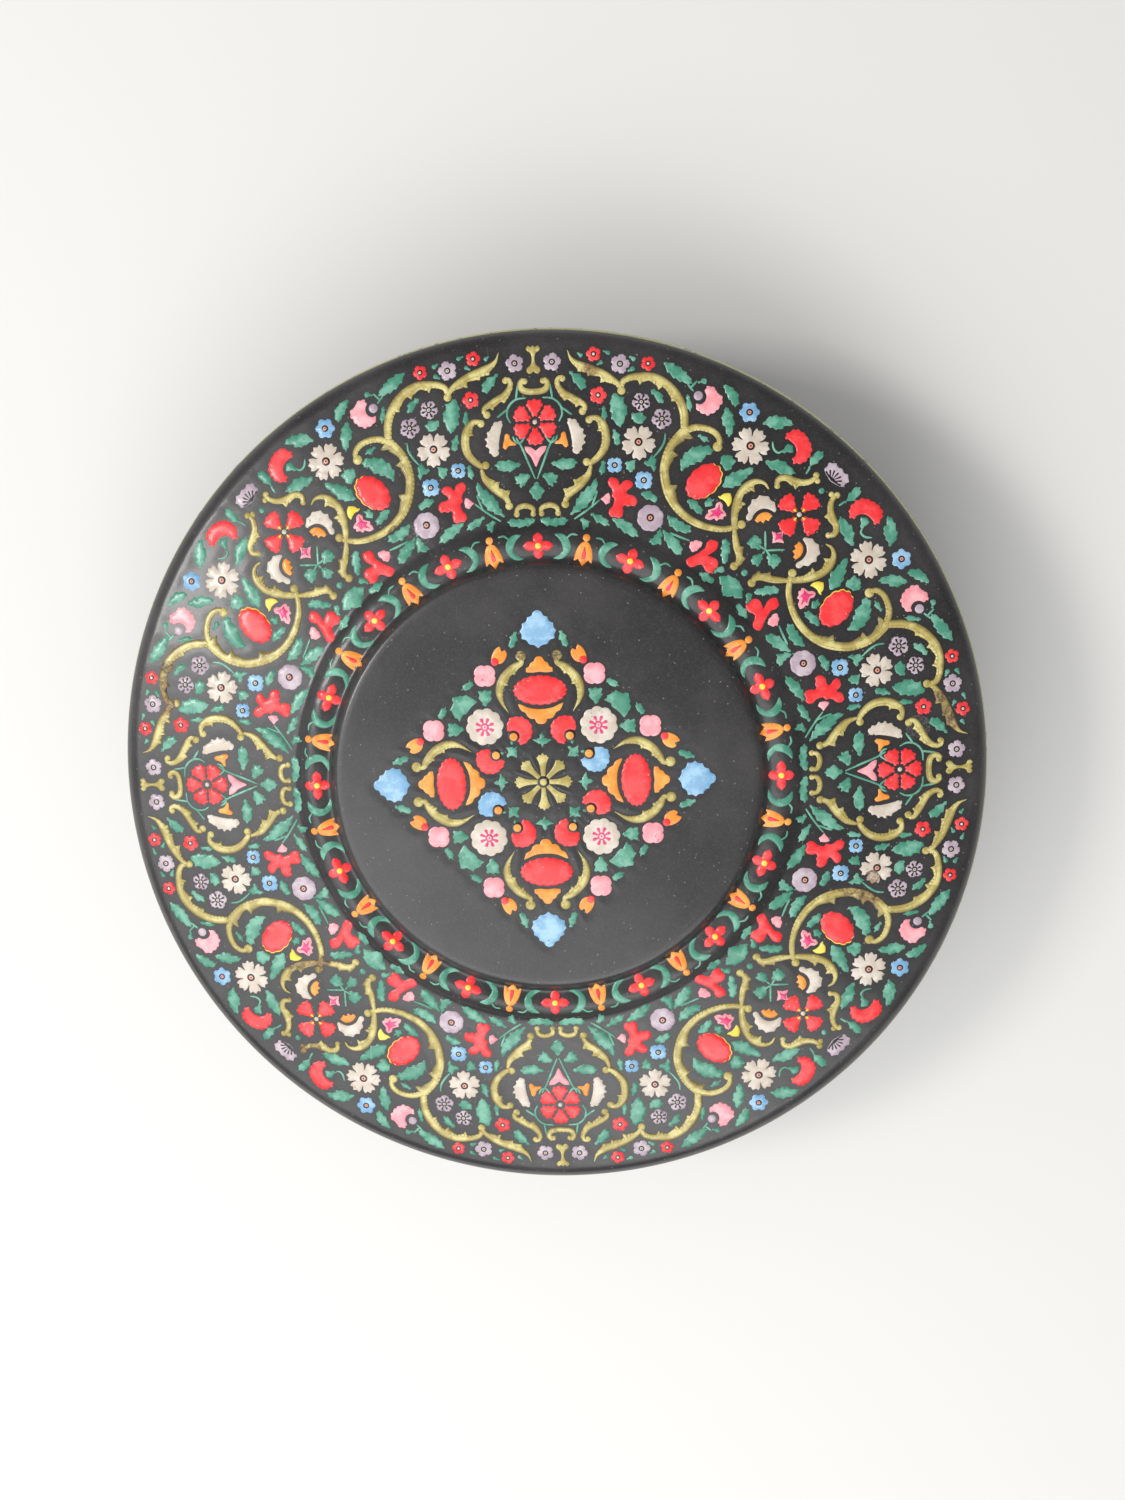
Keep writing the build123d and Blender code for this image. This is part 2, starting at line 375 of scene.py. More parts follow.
# each printed ink as it lies, a lighter copy painted on the motifs' tops as highlight, and a darker copy
# painted at their sunk edges and on one side of a ribbon as shade, also used for print grain and lines
inks = {
    "gold": [(168, 150, 78), (218, 205, 134), (98, 80, 42)],
    "green": [(68, 138, 114), (122, 182, 158), (38, 92, 76)],
    "red": [(236, 42, 46), (248, 78, 80), (170, 22, 30)],
    "pink": [(238, 148, 156), (248, 184, 188), (178, 92, 102)],
    "magenta": [(224, 46, 112), (236, 90, 140), (150, 30, 76)],
    "lilac": [(174, 154, 166), (204, 188, 194), (104, 90, 104)],
    "blue": [(118, 166, 202), (164, 202, 228), (66, 106, 142)],
    "cream": [(200, 186, 170), (220, 210, 197), (146, 128, 108)],
    "orange": [(238, 142, 46), (250, 176, 84), (168, 84, 20)],
    "peach": [(222, 148, 122), (236, 176, 150), (160, 92, 70)],
    "yellow": [(232, 206, 60), (246, 226, 110), (170, 138, 30)],
}
finishes = {
    "ground": makeLacquer("printedBlackGround", ink(45, 43, 44), ink(90, 87, 86), printed=True),
    "outside": makeLacquer("blackOutsideLacquer", ink(44, 42, 43), ink(72, 70, 69)),
    "tin": makeBareTin(),
}
for colour, shades in inks.items():
    body, light, darkInkAndShade = (ink(*shade) for shade in shades)
    spots = wornSpots.get(colour, ())
    finishes[colour] = makeEnamel(colour + "Print", body, light, darkInkAndShade, spots, ribbon=colour == "gold")
finishes["dark"] = makeLacquer("darkPrint", ink(38, 32, 34), ink(60, 54, 54), 0.3, 0.1)
print("finishes:", len(finishes))

# shells, from the CAD's own sizes

lid = {
    "gauge": 0.3, "radius": 127.0, "edge": 44.0,
    "crease": (73.3, 71.9), "bandDrop": 0.10987, "bandSwell": 0.1,
    "shoulder": 6.0, "shoulderCentre": (121.0, 60.62), "shoulderTurn": 83.73,
    # radius and height of the top face, from the axis to just past the crease
    "middle": [(0, 75.95), (58.8, 75.95), (60.2, 75.9), (61.0, 75.66), (61.6, 75.15), (62.1, 74.4),
               (62.7, 73.7), (63.5, 73.4), (64.5, 73.5), (66.1, 73.85), (68.1, 74.07), (70.1, 73.7),
               (71.6, 73.0), (72.6, 72.25), (73.3, 71.93), (74.1, 71.82)],
    # the black ground swells a little between the motifs, above quiltFloor
    "quilt": 0.1, "quiltFloor": 65.5, "quiltGap": 0.35, "quiltReach": 2.1,
    "turns": 576, "spacing": 1.25,
}


def curveBetween(t, start, startSlope, end, endSlope):
    # a cubic from start to end as t goes from 0 to 1
    return ((2 * t ** 3 - 3 * t ** 2 + 1) * start + (t ** 3 - 2 * t ** 2 + t) * startSlope
            + (-2 * t ** 3 + 3 * t ** 2) * end + (t ** 3 - t ** 2) * endSlope)


def lidHeight(radius):
    # top face of the lid from its middle out to the shoulder
    keys = lid["middle"]
    startRadius = keys[-1][0]
    creaseRadius, creaseHeight = lid["crease"]
    if radius >= startRadius:
        shoulderStart = lid["shoulderCentre"][0] + lid["shoulder"] * math.sin(math.atan(lid["bandDrop"]))
        if radius > shoulderStart:
            reach = min(radius - lid["shoulderCentre"][0], lid["shoulder"])
            return lid["shoulderCentre"][1] + math.sqrt(lid["shoulder"] ** 2 - reach ** 2)
        along = (radius - creaseRadius) / (shoulderStart - creaseRadius)
        swell = lid["bandSwell"] * math.sin(math.pi * along) ** 2
        return creaseHeight - lid["bandDrop"] * (radius - creaseRadius) + swell
    for (r0, z0), (r1, z1) in zip(keys, keys[1:]):
        if radius <= r1:
            t = (radius - r0) / (r1 - r0)
            i = keys.index((r0, z0))
            before = keys[i - 1] if i else (r0 - 1, z0)
            after = keys[i + 2] if i + 2 < len(keys) else (r1 + 1, z1 - lid["bandDrop"])
            m0 = (z1 - before[1]) / (r1 - before[0]) * (r1 - r0)
            m1 = (after[1] - z0) / (after[0] - r0) * (r1 - r0)
            return curveBetween(t, z0, m0, z1, m1)
    return keys[-1][1]


def arc(centre, radius, start, end, steps):
    turns = [math.radians(start + (end - start) * i / steps) for i in range(steps + 1)]
    return [(centre[0] + radius * math.cos(a), centre[1] + radius * math.sin(a)) for a in turns]


def turnShell(name, loop, angles, nudge=None):
    # loop: (radius, height, finish number) round the section; a radius of 0 closes at the axis
    verts, rings, faces, numbers = [], [], [], []
    for radius, height, _ in loop:
        if radius < 1e-6:
            rings.append([len(verts)])
            verts.append((0, 0, height * mm))
            continue
        ring = []
        for angle in angles:
            r = radius + (nudge(radius, height, angle) if nudge else 0)
            ring.append(len(verts))
            verts.append((r * math.cos(angle) * mm, r * math.sin(angle) * mm, height * mm))
        rings.append(ring)
    count = len(loop)
    turns = len(angles)
    for i in range(count):
        here, there = rings[i], rings[(i + 1) % count]
        if len(here) == 1 and len(there) == 1:
            continue
        for j in range(turns):
            k = (j + 1) % turns
            if len(here) == 1:
                faces.append((here[0], there[j], there[k]))
            elif len(there) == 1:
                faces.append((here[j], there[0], here[k]))
            else:
                faces.append((here[j], there[j], there[k], here[k]))
            numbers.append(loop[i][2])
    mesh = bpy.data.meshes.new(name)
    mesh.from_pydata(verts, [], faces)
    mesh.polygons.foreach_set("material_index", numbers)
    mesh.polygons.foreach_set("use_smooth", [True] * len(faces))
    shape = bmesh.new()
    shape.from_mesh(mesh)
    bmesh.ops.recalc_face_normals(shape, faces=shape.faces)
    shape.to_mesh(mesh)
    shape.free()
    piece = bpy.data.objects.new(name, mesh)
    bpy.context.scene.collection.objects.link(piece)
    return piece


def triangles(mesh):
    return sum(len(face.vertices) - 2 for face in mesh.polygons)


def evenAngles(count):
    return [fullTurn * i / count for i in range(count)]


def buildLid(motifs):
    edge, gauge, radius, spacing = lid["edge"], lid["gauge"], lid["radius"], lid["spacing"]
    ringRadii = [64.0, 65.3, 67.1, 67.6, 68.7, 69.1, 70.9, 72.1, 120.6]
    radii = sorted({0, *[r for r, _ in lid["middle"][1:]], *ringRadii}
                   | {2 + spacing * i for i in range(45)} | {75.0 + spacing * i for i in range(36)})
    top = [(r, lidHeight(r)) for r in radii]
    shoulder = arc(lid["shoulderCentre"], lid["shoulder"], lid["shoulderTurn"], 0, 14)
    outer = top + shoulder + [(radius, 56.0), (radius, 50.0), (radius, 45.4)]
    roll = arc((126.7, edge + 0.3), 0.3, 0, -180, 6)
    inner = [(126.4, edge + 1.4), (126.4, edge + 2.3)] + arc((126.55, edge + 2.45), 0.15, 180, 90, 3)
    inner += [(126.68, edge + 2.75), (126.7, edge + 3.2), (126.7, 58.0)]
    inner += arc(lid["shoulderCentre"], lid["shoulder"] - gauge, 0, lid["shoulderTurn"], 7)
    innerRadii = [108, 96, 84, 76, 74.1, 73.3, 72.6, 71.6, 70.1, 68.1, 66.1, 64.5, 63.5]
    innerRadii += [62.7, 62.1, 61.6, 61.0, 60.1, 58.6, 30, 0]
    inner += [(r, lidHeight(r) - gauge) for r in innerRadii]
    loop = [(r, z, 0) for r, z in outer + roll] + [(r, z, 1) for r, z in inner]
    piece = turnShell("lid_shell", loop, evenAngles(lid["turns"]))
    sheet = piece.data
    near = np.zeros(len(sheet.vertices), np.float32)
    for i, vertex in enumerate(sheet.vertices):
        place = vertex.co
        outside = place.z * 1000 > lidHeight(math.hypot(place.x, place.y) * 1000) - 0.1
        if place.z > lid["quiltFloor"] * mm and outside:
            gap = motifs.find(place)[2] * 1000
            near[i] = 1 - min(max((gap - lid["quiltGap"]) / lid["quiltReach"], 0), 1)
            vertex.co.z += lid["quilt"] * (1 - near[i] ** 1.5) * mm
    sheet.attributes.new("near", "FLOAT", "POINT").data.foreach_set("value", near)
    sheet.materials.append(finishes["ground"])
    sheet.materials.append(finishes["tin"])
    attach(piece, "lid")
    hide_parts("lid")
    print("lid triangles", triangles(sheet))
    return piece


wall = {
    "gauge": 0.3, "radius": 126.0, "mouth": 61.96,
    "beadMiddle": 42.35, "beadWidth": 4.2, "beadHeight": 1.2,
    "lockAngle": -90.0, "lockWidth": 4.0, "lockDepth": 1.2, "jointDepth": 0.28, "seamTop": 3.4,
}


def buildWall():
    gauge, radius, mouth = wall["gauge"], wall["radius"], wall["mouth"]
    inside = radius - gauge
    bead = [(wall["beadHeight"] * (0.5 + 0.5 * math.cos(math.pi * s)) ** 1.35, s * wall["beadWidth"] / 2)
            for s in [i / 8 - 1 for i in range(17)]]
    outer = [(radius, mouth - 0.4)] + [(radius, z) for z in (59, 54, 49, 46)]
    outer += [(radius + h, wall["beadMiddle"] - s) for h, s in bead]
    outer += [(radius, z) for z in (38, 30, 22, 14, 8, 5.2, 4.2, 1.4)]
    # the hook that is folded into the base seam
    outer += arc((radius + 0.4, 0.9), 0.3, 180, 270, 3) + [(126.5, 0.7), (126.5, 2.9)]
    inner = [(126.8, 2.9), (126.8, 0.5), (126.7, 0.4), (125.8, 0.4)]
    inner += [(inside, z) for z in (0.5, 4.2, 5.2, 8, 14, 22, 30, 38)]
    inner += [(inside + h, wall["beadMiddle"] - s) for h, s in reversed(bead)]
    inner += [(inside, z) for z in (46, 49, 54, 57.5, mouth - 3.3)]
    # the rolled mouth
    inner += [(125.68, mouth - 3.15)] + arc((125.55, mouth - 2.85), 0.15, 270, 180, 3)
    inner += [(125.4, mouth - 1.5), (125.4, mouth - gauge)] + arc((inside, mouth - gauge), gauge, 180, 90, 4)
    roll = arc((inside, mouth - gauge), gauge, 90, 0, 4)[1:-1]
    # close rows of points across the lock seam
    middle = math.radians(wall["lockAngle"]) % fullTurn
    half = wall["lockWidth"] / 2 / radius
    rows = (-1.9, -1.45, -1.2, -1.04, -0.96, -0.5, 0, 0.5, 0.9, 0.955, 0.975, 1.0, 1.02, 1.045, 1.1, 1.5, 1.9)
    extra = [middle + half * s for s in rows]
    angles = sorted([a for a in evenAngles(288) if abs(a - middle) > half * 2.1] + extra)

    def window(height):
        # 1 where the fold shows: below the bead and above it
        def rise(a, b):
            t = min(max((height - a) / (b - a), 0), 1)
            return t * t * (3 - 2 * t)
        return rise(4.4, 5.6) * (1 - rise(37.6, 39.2)) + rise(45.2, 46.4) * (1 - rise(56.8, 58.4))

    def lockFold(r, height, angle):
        # a flat fold inside the wall, and its fine joint line outside
        along = (angle - middle) / half
        if abs(along) > 2 or height <= wall["seamTop"]:
            return 0
        share = window(height)
        if r > radius - gauge / 2:
            return -wall["jointDepth"] * share * max(0, 1 - abs(along - 1.0) / 0.05)
        ridge = min(max((1.5 - abs(along - 0.12)) / 0.42, 0), 1)
        return -wall["lockDepth"] * share * ridge ** 1.5

    loop = [(r, z, 0) for r, z in outer] + [(r, z, 1) for r, z in inner] + [(r, z, 1) for r, z in roll]
    piece = turnShell("wall_shell", loop, angles, lockFold)
    piece.data.materials.append(finishes["outside"])
    piece.data.materials.append(finishes["tin"])
    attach(piece, "body")
    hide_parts("body_wall")
    return piece


base = {
    "gauge": 0.3, "countersink": 4.0,
    "beads": [(60.0, 2.4, 0.3), (104.0, 2.4, 0.3)],  # radius, half width, rise
}


def buildBase():
    gauge = base["gauge"]

    def panel(radius):
        # shallow stiffening beads pressed in the flat panel
        height = base["countersink"]
        for middle, width, rise in base["beads"]:
            height += rise * 0.5 * (1 + math.cos(math.pi * min(abs(radius - middle) / width, 1)))
        return height

    radii = sorted({0, 20, 40, 52, 68, 80, 92, 112, 120, 123.5}
                   | {middle + width * (i / 4 - 1) for middle, width, _ in base["beads"] for i in range(9)})
    # the panel, then the double seam under it and back over the panel
    under = [(r, panel(r)) for r in radii]
    under += arc((124.7, 3.4), 0.6, 90, 0, 4) + [(125.3, 1.6), (125.3, 0.35)]
    under += arc((125.65, 0.35), 0.35, 180, 270, 4) + [(126.4, 0)]
    under += arc((126.75, 0.45), 0.45, 270, 360, 5) + [(127.2, 1.4), (127.2, 2.9)]
    under += arc((126.85, 2.95), 0.35, 0, 90, 5) + [(126.4, 3.3), (126.12, 3.2), (126.1, 2.8), (126.1, 1.0)]
    over = [(126.4, 1.0), (126.4, 2.95), (126.85, 3.0), (126.9, 2.9), (126.9, 0.45), (126.75, 0.3)]
    over += [(125.7, 0.3), (125.6, 0.45), (125.6, 3.4)] + arc((124.7, 3.4), 0.9, 0, 90, 4)
    over += [(r, panel(r) + gauge) for r in reversed(radii)]
    loop = [(r, z, 0) for r, z in under] + [(r, z, 1) for r, z in over]
    piece = turnShell("base_shell", loop, evenAngles(256))
    piece.data.materials.append(finishes["outside"])
    piece.data.materials.append(finishes["tin"])
    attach(piece, "body")
    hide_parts("base")
    return piece


buildWall()
buildBase()
print("shells turned")

# embossed motifs
# Outlines are drawn on the flat pattern, in millimetres before the pattern's scale. One eighth of it
# lies between the line x = 0 and the line y = x; "eighth" motifs are mirrored and turned four times,
# "quarter" motifs lie on one of those two lines and are turned four times.

pattern = {
    "scale": 0.984, "medallionCentre": (-0.8, 0.0),
    "lift": 0.17, "crest": 0.21, "sink": 0.05, "bevel": 1.0, "step": 0.5,
    "bandRise": 1.3,  # the band's motifs are this many times as high as the medallion's
    "toothPitch": 2.5,
}
crest = pattern["crest"]
traits = ("rim", "crown", "across", "run")
stock = {}  # (group, finish) -> vertices, faces and a list of values for each trait


def keep(group, finish, flat, heights, faces, rims, crowns, ribbon=None):
    verts, allFaces, values = stock.setdefault((group, finish), ([], [], {trait: [] for trait in traits}))
    heights = np.array(heights) * (1 if group.startswith("medallion") else pattern["bandRise"])
    start = len(verts)
    for (x, y), height in zip(flat, heights):
        x, y = x * pattern["scale"], y * pattern["scale"]
        verts.append((x * mm, y * mm, (lidHeight(math.hypot(x, y)) + height) * mm))
    allFaces.extend(tuple(start + i for i in face) for face in faces)
    ribbon = ribbon or ([0] * len(rims), [0] * len(rims))
    for trait, more in zip(traits, (rims, crowns, *ribbon)):
        values[trait].extend(more)


def smoothLine(points, step, closed=True, corner=52):
    # a curve through the points that keeps corners sharper than the given turn
    pts = [np.array(p, float) for p in points]
    count = len(pts)
    spans = range(count if closed else count - 1)

    def direction(i, forward):
        here = pts[i % count]
        ahead, behind = pts[(i + 1) % count] - here, here - pts[(i - 1) % count]
        if not closed and i == 0:
            return ahead / (np.linalg.norm(ahead) + 1e-9)
        if not closed and i == count - 1:
            return behind / (np.linalg.norm(behind) + 1e-9)
        a, b = ahead / (np.linalg.norm(ahead) + 1e-9), behind / (np.linalg.norm(behind) + 1e-9)
        if math.degrees(math.acos(max(-1, min(1, float(a @ b))))) > corner:
            return a if forward else b
        return (a + b) / (np.linalg.norm(a + b) + 1e-9)

    line = []
    for i in spans:
        p0, p1 = pts[i], pts[(i + 1) % count]
        length = np.linalg.norm(p1 - p0)
        m0 = direction(i, True) * length
        m1 = direction((i + 1) % count if closed else i + 1, False) * length
        steps = max(1, round(length / step))
        for j in range(steps):
            t = j / steps
            line.append(curveBetween(t, p0, m0, p1, m1))
    if not closed:
        line.append(pts[-1])
    return np.array(line)


def edgeDistance(points, loop):
    a, b = loop, np.roll(loop, -1, 0)
    along = b - a
    lengths = np.einsum("kj,kj->k", along, along) + 1e-12
    share = np.einsum("mkj,kj->mk", points[:, None] - a[None], along) / lengths
    near = a[None] + np.clip(share, 0, 1)[..., None] * along[None]
    return np.linalg.norm(points[:, None] - near, axis=2).min(1)


def insideLoop(points, loop):
    a, b = loop, np.roll(loop, -1, 0)
    x, y = points[:, 0:1], points[:, 1:2]
    meets = (b[:, 0] - a[:, 0]) * (y - a[:, 1]) / (b[:, 1] - a[:, 1] + 1e-12) + a[:, 0]
    crossing = ((a[:, 1] > y) != (b[:, 1] > y)) & (x < meets)
    return crossing.sum(1) % 2 == 1


def areaOf(loop):
    # twice the area, and positive for an anticlockwise loop
    x, y = loop[:, 0], loop[:, 1]
    return float(np.sum(x * np.roll(y, -1) - np.roll(x, -1) * y))


def outwardOf(loop):
    # unit normals, outward for an anticlockwise loop
    tangent = np.roll(loop, -1, 0) - np.roll(loop, 1, 0)
    return np.c_[tangent[:, 1], -tangent[:, 0]] / (np.linalg.norm(tangent, axis=1)[:, None] + 1e-9)


def runAlong(loop):
    # distance from the first point to each point, and the whole way round
    gaps = np.linalg.norm(np.roll(loop, -1, 0) - loop, axis=1)
    return np.r_[0, np.cumsum(gaps)[:-1]], gaps.sum()


def scalloped(loop, pitch, depth):
    # pushes the outward-curving parts of an anticlockwise loop into small scallops
    run, total = runAlong(loop)
    reach = max(1, round(1.6 / (total / len(loop))))
    back, front = loop - np.roll(loop, reach, 0), np.roll(loop, -reach, 0) - loop
    bend = np.arctan2(back[:, 0] * front[:, 1] - back[:, 1] * front[:, 0], (back * front).sum(1))
    wave = np.abs(np.sin(math.pi * run / total * max(3, round(total / pitch)))) ** 0.6 - 0.62
    return loop + outwardOf(loop) * (depth * wave * np.clip((bend + 0.02) / 0.35, 0, 1))[:, None]


def innerPoints(loop, inward, fine):
    # points inside a loop: one or two rows along its edge, then an even grid or the middle
    tries = [(loop + inward * 0.26, 0.2)]
    if fine:
        tries.append(((loop + inward * 0.62)[::2], 0.52))
        low, high = loop.min(0), loop.max(0)
        rows = np.arange(low[1] + 0.5, high[1], 0.9)
        columns = np.arange(low[0] + 0.5, high[0], 1.05)
        grid = [(x + (0.5 if i % 2 else 0), y) for i, y in enumerate(rows) for x in columns]
        if grid:
            tries.append((np.array(grid), 0.9))
    else:
        tries.append((loop.mean(0)[None], 0.3))
    chosen = np.empty((0, 2))
    for spots, least in tries:
        spots = spots[insideLoop(spots, loop)]
        if len(spots):
            spots = spots[edgeDistance(spots, loop) > least]
        for spot in spots:
            if not len(chosen) or np.linalg.norm(chosen - spot, axis=1).min() > 0.2:
                chosen = np.vstack([chosen, spot])
    return chosen


def facesUp(face, flat):
    first, second = flat[face[1]] - flat[face[0]], flat[face[2]] - flat[face[0]]
    return first[0] * second[1] > first[1] * second[0]


def pad(group, finish, outline, lift=None, under=0.0, drawn=True, fine=True, frill=None, grow=0.0):
    # a raised cushion over an outline: sunk at its edge, rounded over, nearly flat on top
    lift = lift or pattern["lift"]
    step = 0.32 if frill else pattern["step"]
    loop = smoothLine(outline, step) if drawn else np.array(outline, float)
    if areaOf(loop) < 0:
        loop = loop[::-1]
    if frill:
        loop = scalloped(loop, *frill)
    inward = -outwardOf(loop)
    loop = loop - inward * grow
    points = [Vector(p) for p in (*loop, *innerPoints(loop, inward, fine))]
    flat, _, faces = delaunay_2d_cdt(points, [], [list(range(len(loop)))], 1, 1e-4)[:3]
    flat = np.array([tuple(p) for p in flat])
    depth = edgeDistance(flat, loop)
    bevel = 0.12 if under else min(pattern["bevel"], 0.8 * depth.max() + 0.01)
    rise = 1 - (1 - np.clip(depth / bevel, 0, 1)) ** 1.8
    sink = 0.01 if under else pattern["sink"]
    heights = under + lift * rise + 0.25 * lift * (1 - np.exp(-depth / 1.6)) - sink * (depth < 0.01)
    faces = [face if facesUp(face, flat) else face[::-1] for face in faces]
    keep(group, finish, flat, heights, faces, np.clip(depth / 0.5, 0, 1), np.clip(depth / 2.2, 0, 1))


def disc(group, finish, x, y, radius, lift=None, under=0.0):
    turns = evenAngles(max(10, round(radius * 11)))
    outline = [(x + radius * math.cos(a), y + radius * math.sin(a)) for a in turns]
    pad(group, finish, outline, lift, under, drawn=False, fine=radius > 1.2)


def lobes(x, y, radius, count, depth, turn=90.0, power=0.75, stretch=1.0):
    # outline of a flower with rounded petals and pinched valleys between them
    steps = max(6, round(radius * fullTurn / count / 0.5)) * count
    points = []
    for i in range(steps):
        angle = fullTurn * i / steps
        wave = abs(math.cos(count * (angle - math.radians(turn)) / 2)) ** power
        reach = radius * (1 - depth + depth * wave)
        points.append((x + reach * math.cos(angle) * stretch, y + reach * math.sin(angle)))
    return points


def eye(group, x, y, radius=0.8, finish="cream"):
    # a dark ring with a light or coloured one inside it, and a dark dot
    disc(group, "dark", x, y, radius, 0.04, crest)
    disc(group, finish, x, y, radius * 0.6, 0.04, crest + 0.04)
    disc(group, "dark", x, y, radius * 0.28, 0.04, crest + 0.08)


def notched(x, y, radius, count, turn, valley=0.5, notch=0.1):
    # outline of a flower: deep valleys between the petals, three small scallops along each petal's edge
    side = [(0.34, 1 - notch), (0.62, 0.97), (0.86, 0.8)]
    edge = [(-1, valley)] + [(-u, v) for u, v in reversed(side)] + [(0, 1.02)] + side
    half = math.pi / count
    points = []
    for i in range(count):
        for along, reach in edge:
            angle = math.radians(turn) + 2 * half * i + half * along
            points.append((x + radius * reach * math.cos(angle), y + radius * reach * math.sin(angle)))
    return points


def blossom(finish, x, y, radius, count, turn, valley, notch, eyeSize, eyeInk="cream", eyeY=None):
    # a small flower on the band, with an eye in its middle or a little beside it
    pad("eighth", finish, notched(x, y, radius, count, turn, valley, notch))
    eye("eighth", x, eyeY or y, eyeSize, finish=eyeInk)


def petal(group, finish, x, y, angle, inner, outer, half, notch=0.35, lift=None, under=0.0, frilled=False):
    # one petal that points away from x, y, with a heart-shaped or a three-scalloped end
    length = outer - inner
    if frilled:
        side = [(0, 0.16), (0.28, 0.52), (0.6, 0.9), (0.78, 1.0), (0.93, 0.8), (1.0, 0.4)]
        end = (1.03, 0)
    else:
        side = [(0, 0.12), (0.3, 0.55), (0.62, 0.95), (0.84, 1.0), (0.97, 0.72), (1.0, 0.36)]
        end = (1 - notch / length, 0)
    local = [(inner + u * length, v * half) for u, v in side + [end] + [(u, -v) for u, v in reversed(side)]]
    c, s = math.cos(math.radians(angle)), math.sin(math.radians(angle))
    outline = [(x + u * c - v * s, y + u * s + v * c) for u, v in local]
    pad(group, finish, outline, lift, under, fine=half > 0.7, frill=(1.75, 0.6) if frilled else None)


def scroll(group, line, width, balls=(), teeth=(), finish="gold", lift=0.27, taper=(1, 1), tie=0.3,
           swell=1.07):
    # a raised ribbon along a line, with knob ends; each tooth is a leaf's tip beside the ribbon and the
    # length over which the leaf grows out of it, negative where it grows from the far end
    middle = smoothLine(line, 0.42, closed=False, corner=120)
    ahead = np.gradient(middle, axis=0)
    ahead /= np.linalg.norm(ahead, axis=1)[:, None] + 1e-9
    across = np.c_[-ahead[:, 1], ahead[:, 0]]
    run = np.r_[0, np.cumsum(np.linalg.norm(np.diff(middle, axis=0), axis=1))]
    share = run / run[-1]
    width = width if isinstance(width, (list, tuple)) else [width, width]
    widths = np.interp(share, np.linspace(0, 1, len(width)), width) / 2
    for least, gone in zip(taper, (share, 1 - share)):
        widths = widths * (least + (1 - least) * np.clip(gone / 0.3, 0, 1) ** 0.8)
    widths = widths * swell
    sides = [widths.copy(), widths.copy()]
    for x, y, reach in teeth:
        away = np.linalg.norm(middle - np.array((x, y)), axis=1)
        at = int(away.argmin())
        side = 0 if float(across[at] @ (np.array((x, y)) - middle[at])) > 0 else 1
        shift = (run - run[at]) * (1 if reach > 0 else -1)
        length = abs(reach)
        dip = 1 - 0.35 * np.exp(-((shift + 0.28 * length) / (0.09 * length)) ** 2)
        grown = np.clip(1 + shift / length, 0, 1) ** 1.5 * dip
        shape = np.where(shift < 0, grown, np.clip(1 - shift / 0.5, 0, 1))
        sides[side] = np.maximum(sides[side], widths + (away[at] + 0.3 - widths) * shape)
    # across the ribbon: place, share of the lift, and how far it is from the rim
    section = [(1, None, 0), (0.86, 0.66, 0.45), (0.5, 0.94, 1), (0, 1, 1)]
    section += [(-place, rise, rim) for place, rise, rim in reversed(section[:-1])]
    flat, heights, rims, crowns = [], [], [], []
    count = len(middle)
    for i in range(-1, count + 1):
        j = min(max(i, 0), count - 1)
        end = i != j
        spot = middle[j] + ahead[j] * ((-tie if i < 0 else tie) if end else 0)
        for place, rise, rim in section:
            reach = (sides[0] if place > 0 else sides[1])[j] * (0.6 if end else 1)
            flat.append(tuple(spot + across[j] * place * reach))
            heights.append(-pattern["sink"] if rise is None or end else lift * rise)
            rims.append(0 if end else rim)
            crowns.append(0 if end else (rise or 0) * 0.8)
    n = len(section)
    corners = [a * n + b for a in range(count + 1) for b in range(n - 1)]
    faces = [(i, i + 1, i + n + 1, i + n) for i in corners]
    ribbon = ([place for _ in range(count + 2) for place, _, _ in section],
              [float(run[min(max(i, 0), count - 1)]) for i in range(-1, count + 1) for _ in section])
    keep(group, finish, flat, heights, [face[::-1] for face in faces], rims, crowns, ribbon)
    for x, y, radius in balls:
        disc(group, finish, x, y, radius, lift * 0.95)


def leaf(group, outline, depth=0.62):
    # a leaf with saw teeth that point from its first corner to the one farthest from it
    loop = smoothLine(outline, 0.4, corner=40)
    run, total = runAlong(loop)
    tip = int(np.linalg.norm(loop - loop[0], axis=1).argmax())
    share = np.where(run <= run[tip], run / run[tip], (total - run) / (total - run[tip]))
    teeth = max(2, round(run[tip] / pattern["toothPitch"]))
    push = depth * ((share * teeth + 0.5) % 1 - 0.42) * np.clip(np.sin(np.pi * share) * 1.6, 0, 1)
    push = push * (1 if areaOf(loop) > 0 else -1)
    pad(group, "green", loop + outwardOf(loop) * push[:, None], drawn=False)


def blade(group, start, end, width):
    # a small pointed leaf between two points
    (x0, y0), (x1, y1) = start, end
    dx, dy = x1 - x0, y1 - y0
    length = math.hypot(dx, dy)
    nx, ny = -dy / length * width / 2, dx / length * width / 2
    sides = [[(x0 + dx * 0.3 + s * nx * 0.8, y0 + dy * 0.3 + s * ny * 0.8),
              (x0 + dx * 0.62 + s * nx, y0 + dy * 0.62 + s * ny)] for s in (1, -1)]
    leaf(group, [start, *sides[0], end, *reversed(sides[1])], depth=0.4)


def stem(group, line, width=0.55):
    scroll(group, line, width, finish="green", lift=0.13, taper=(0.6, 0.6), tie=0.1, swell=1.25)


def bothSides(half):
    return list(half) + [(-x, y) for x, y in reversed(half) if abs(x) > 0.01]


def acrossDiagonal(half):
    return list(half) + [(y, x) for x, y in reversed(half) if abs(x - y) > 0.01]


def clockwise(points, degrees):
    c, s = math.cos(math.radians(degrees)), math.sin(math.radians(degrees))
    return [(x * c + y * s, y * c - x * s) for x, y in points]


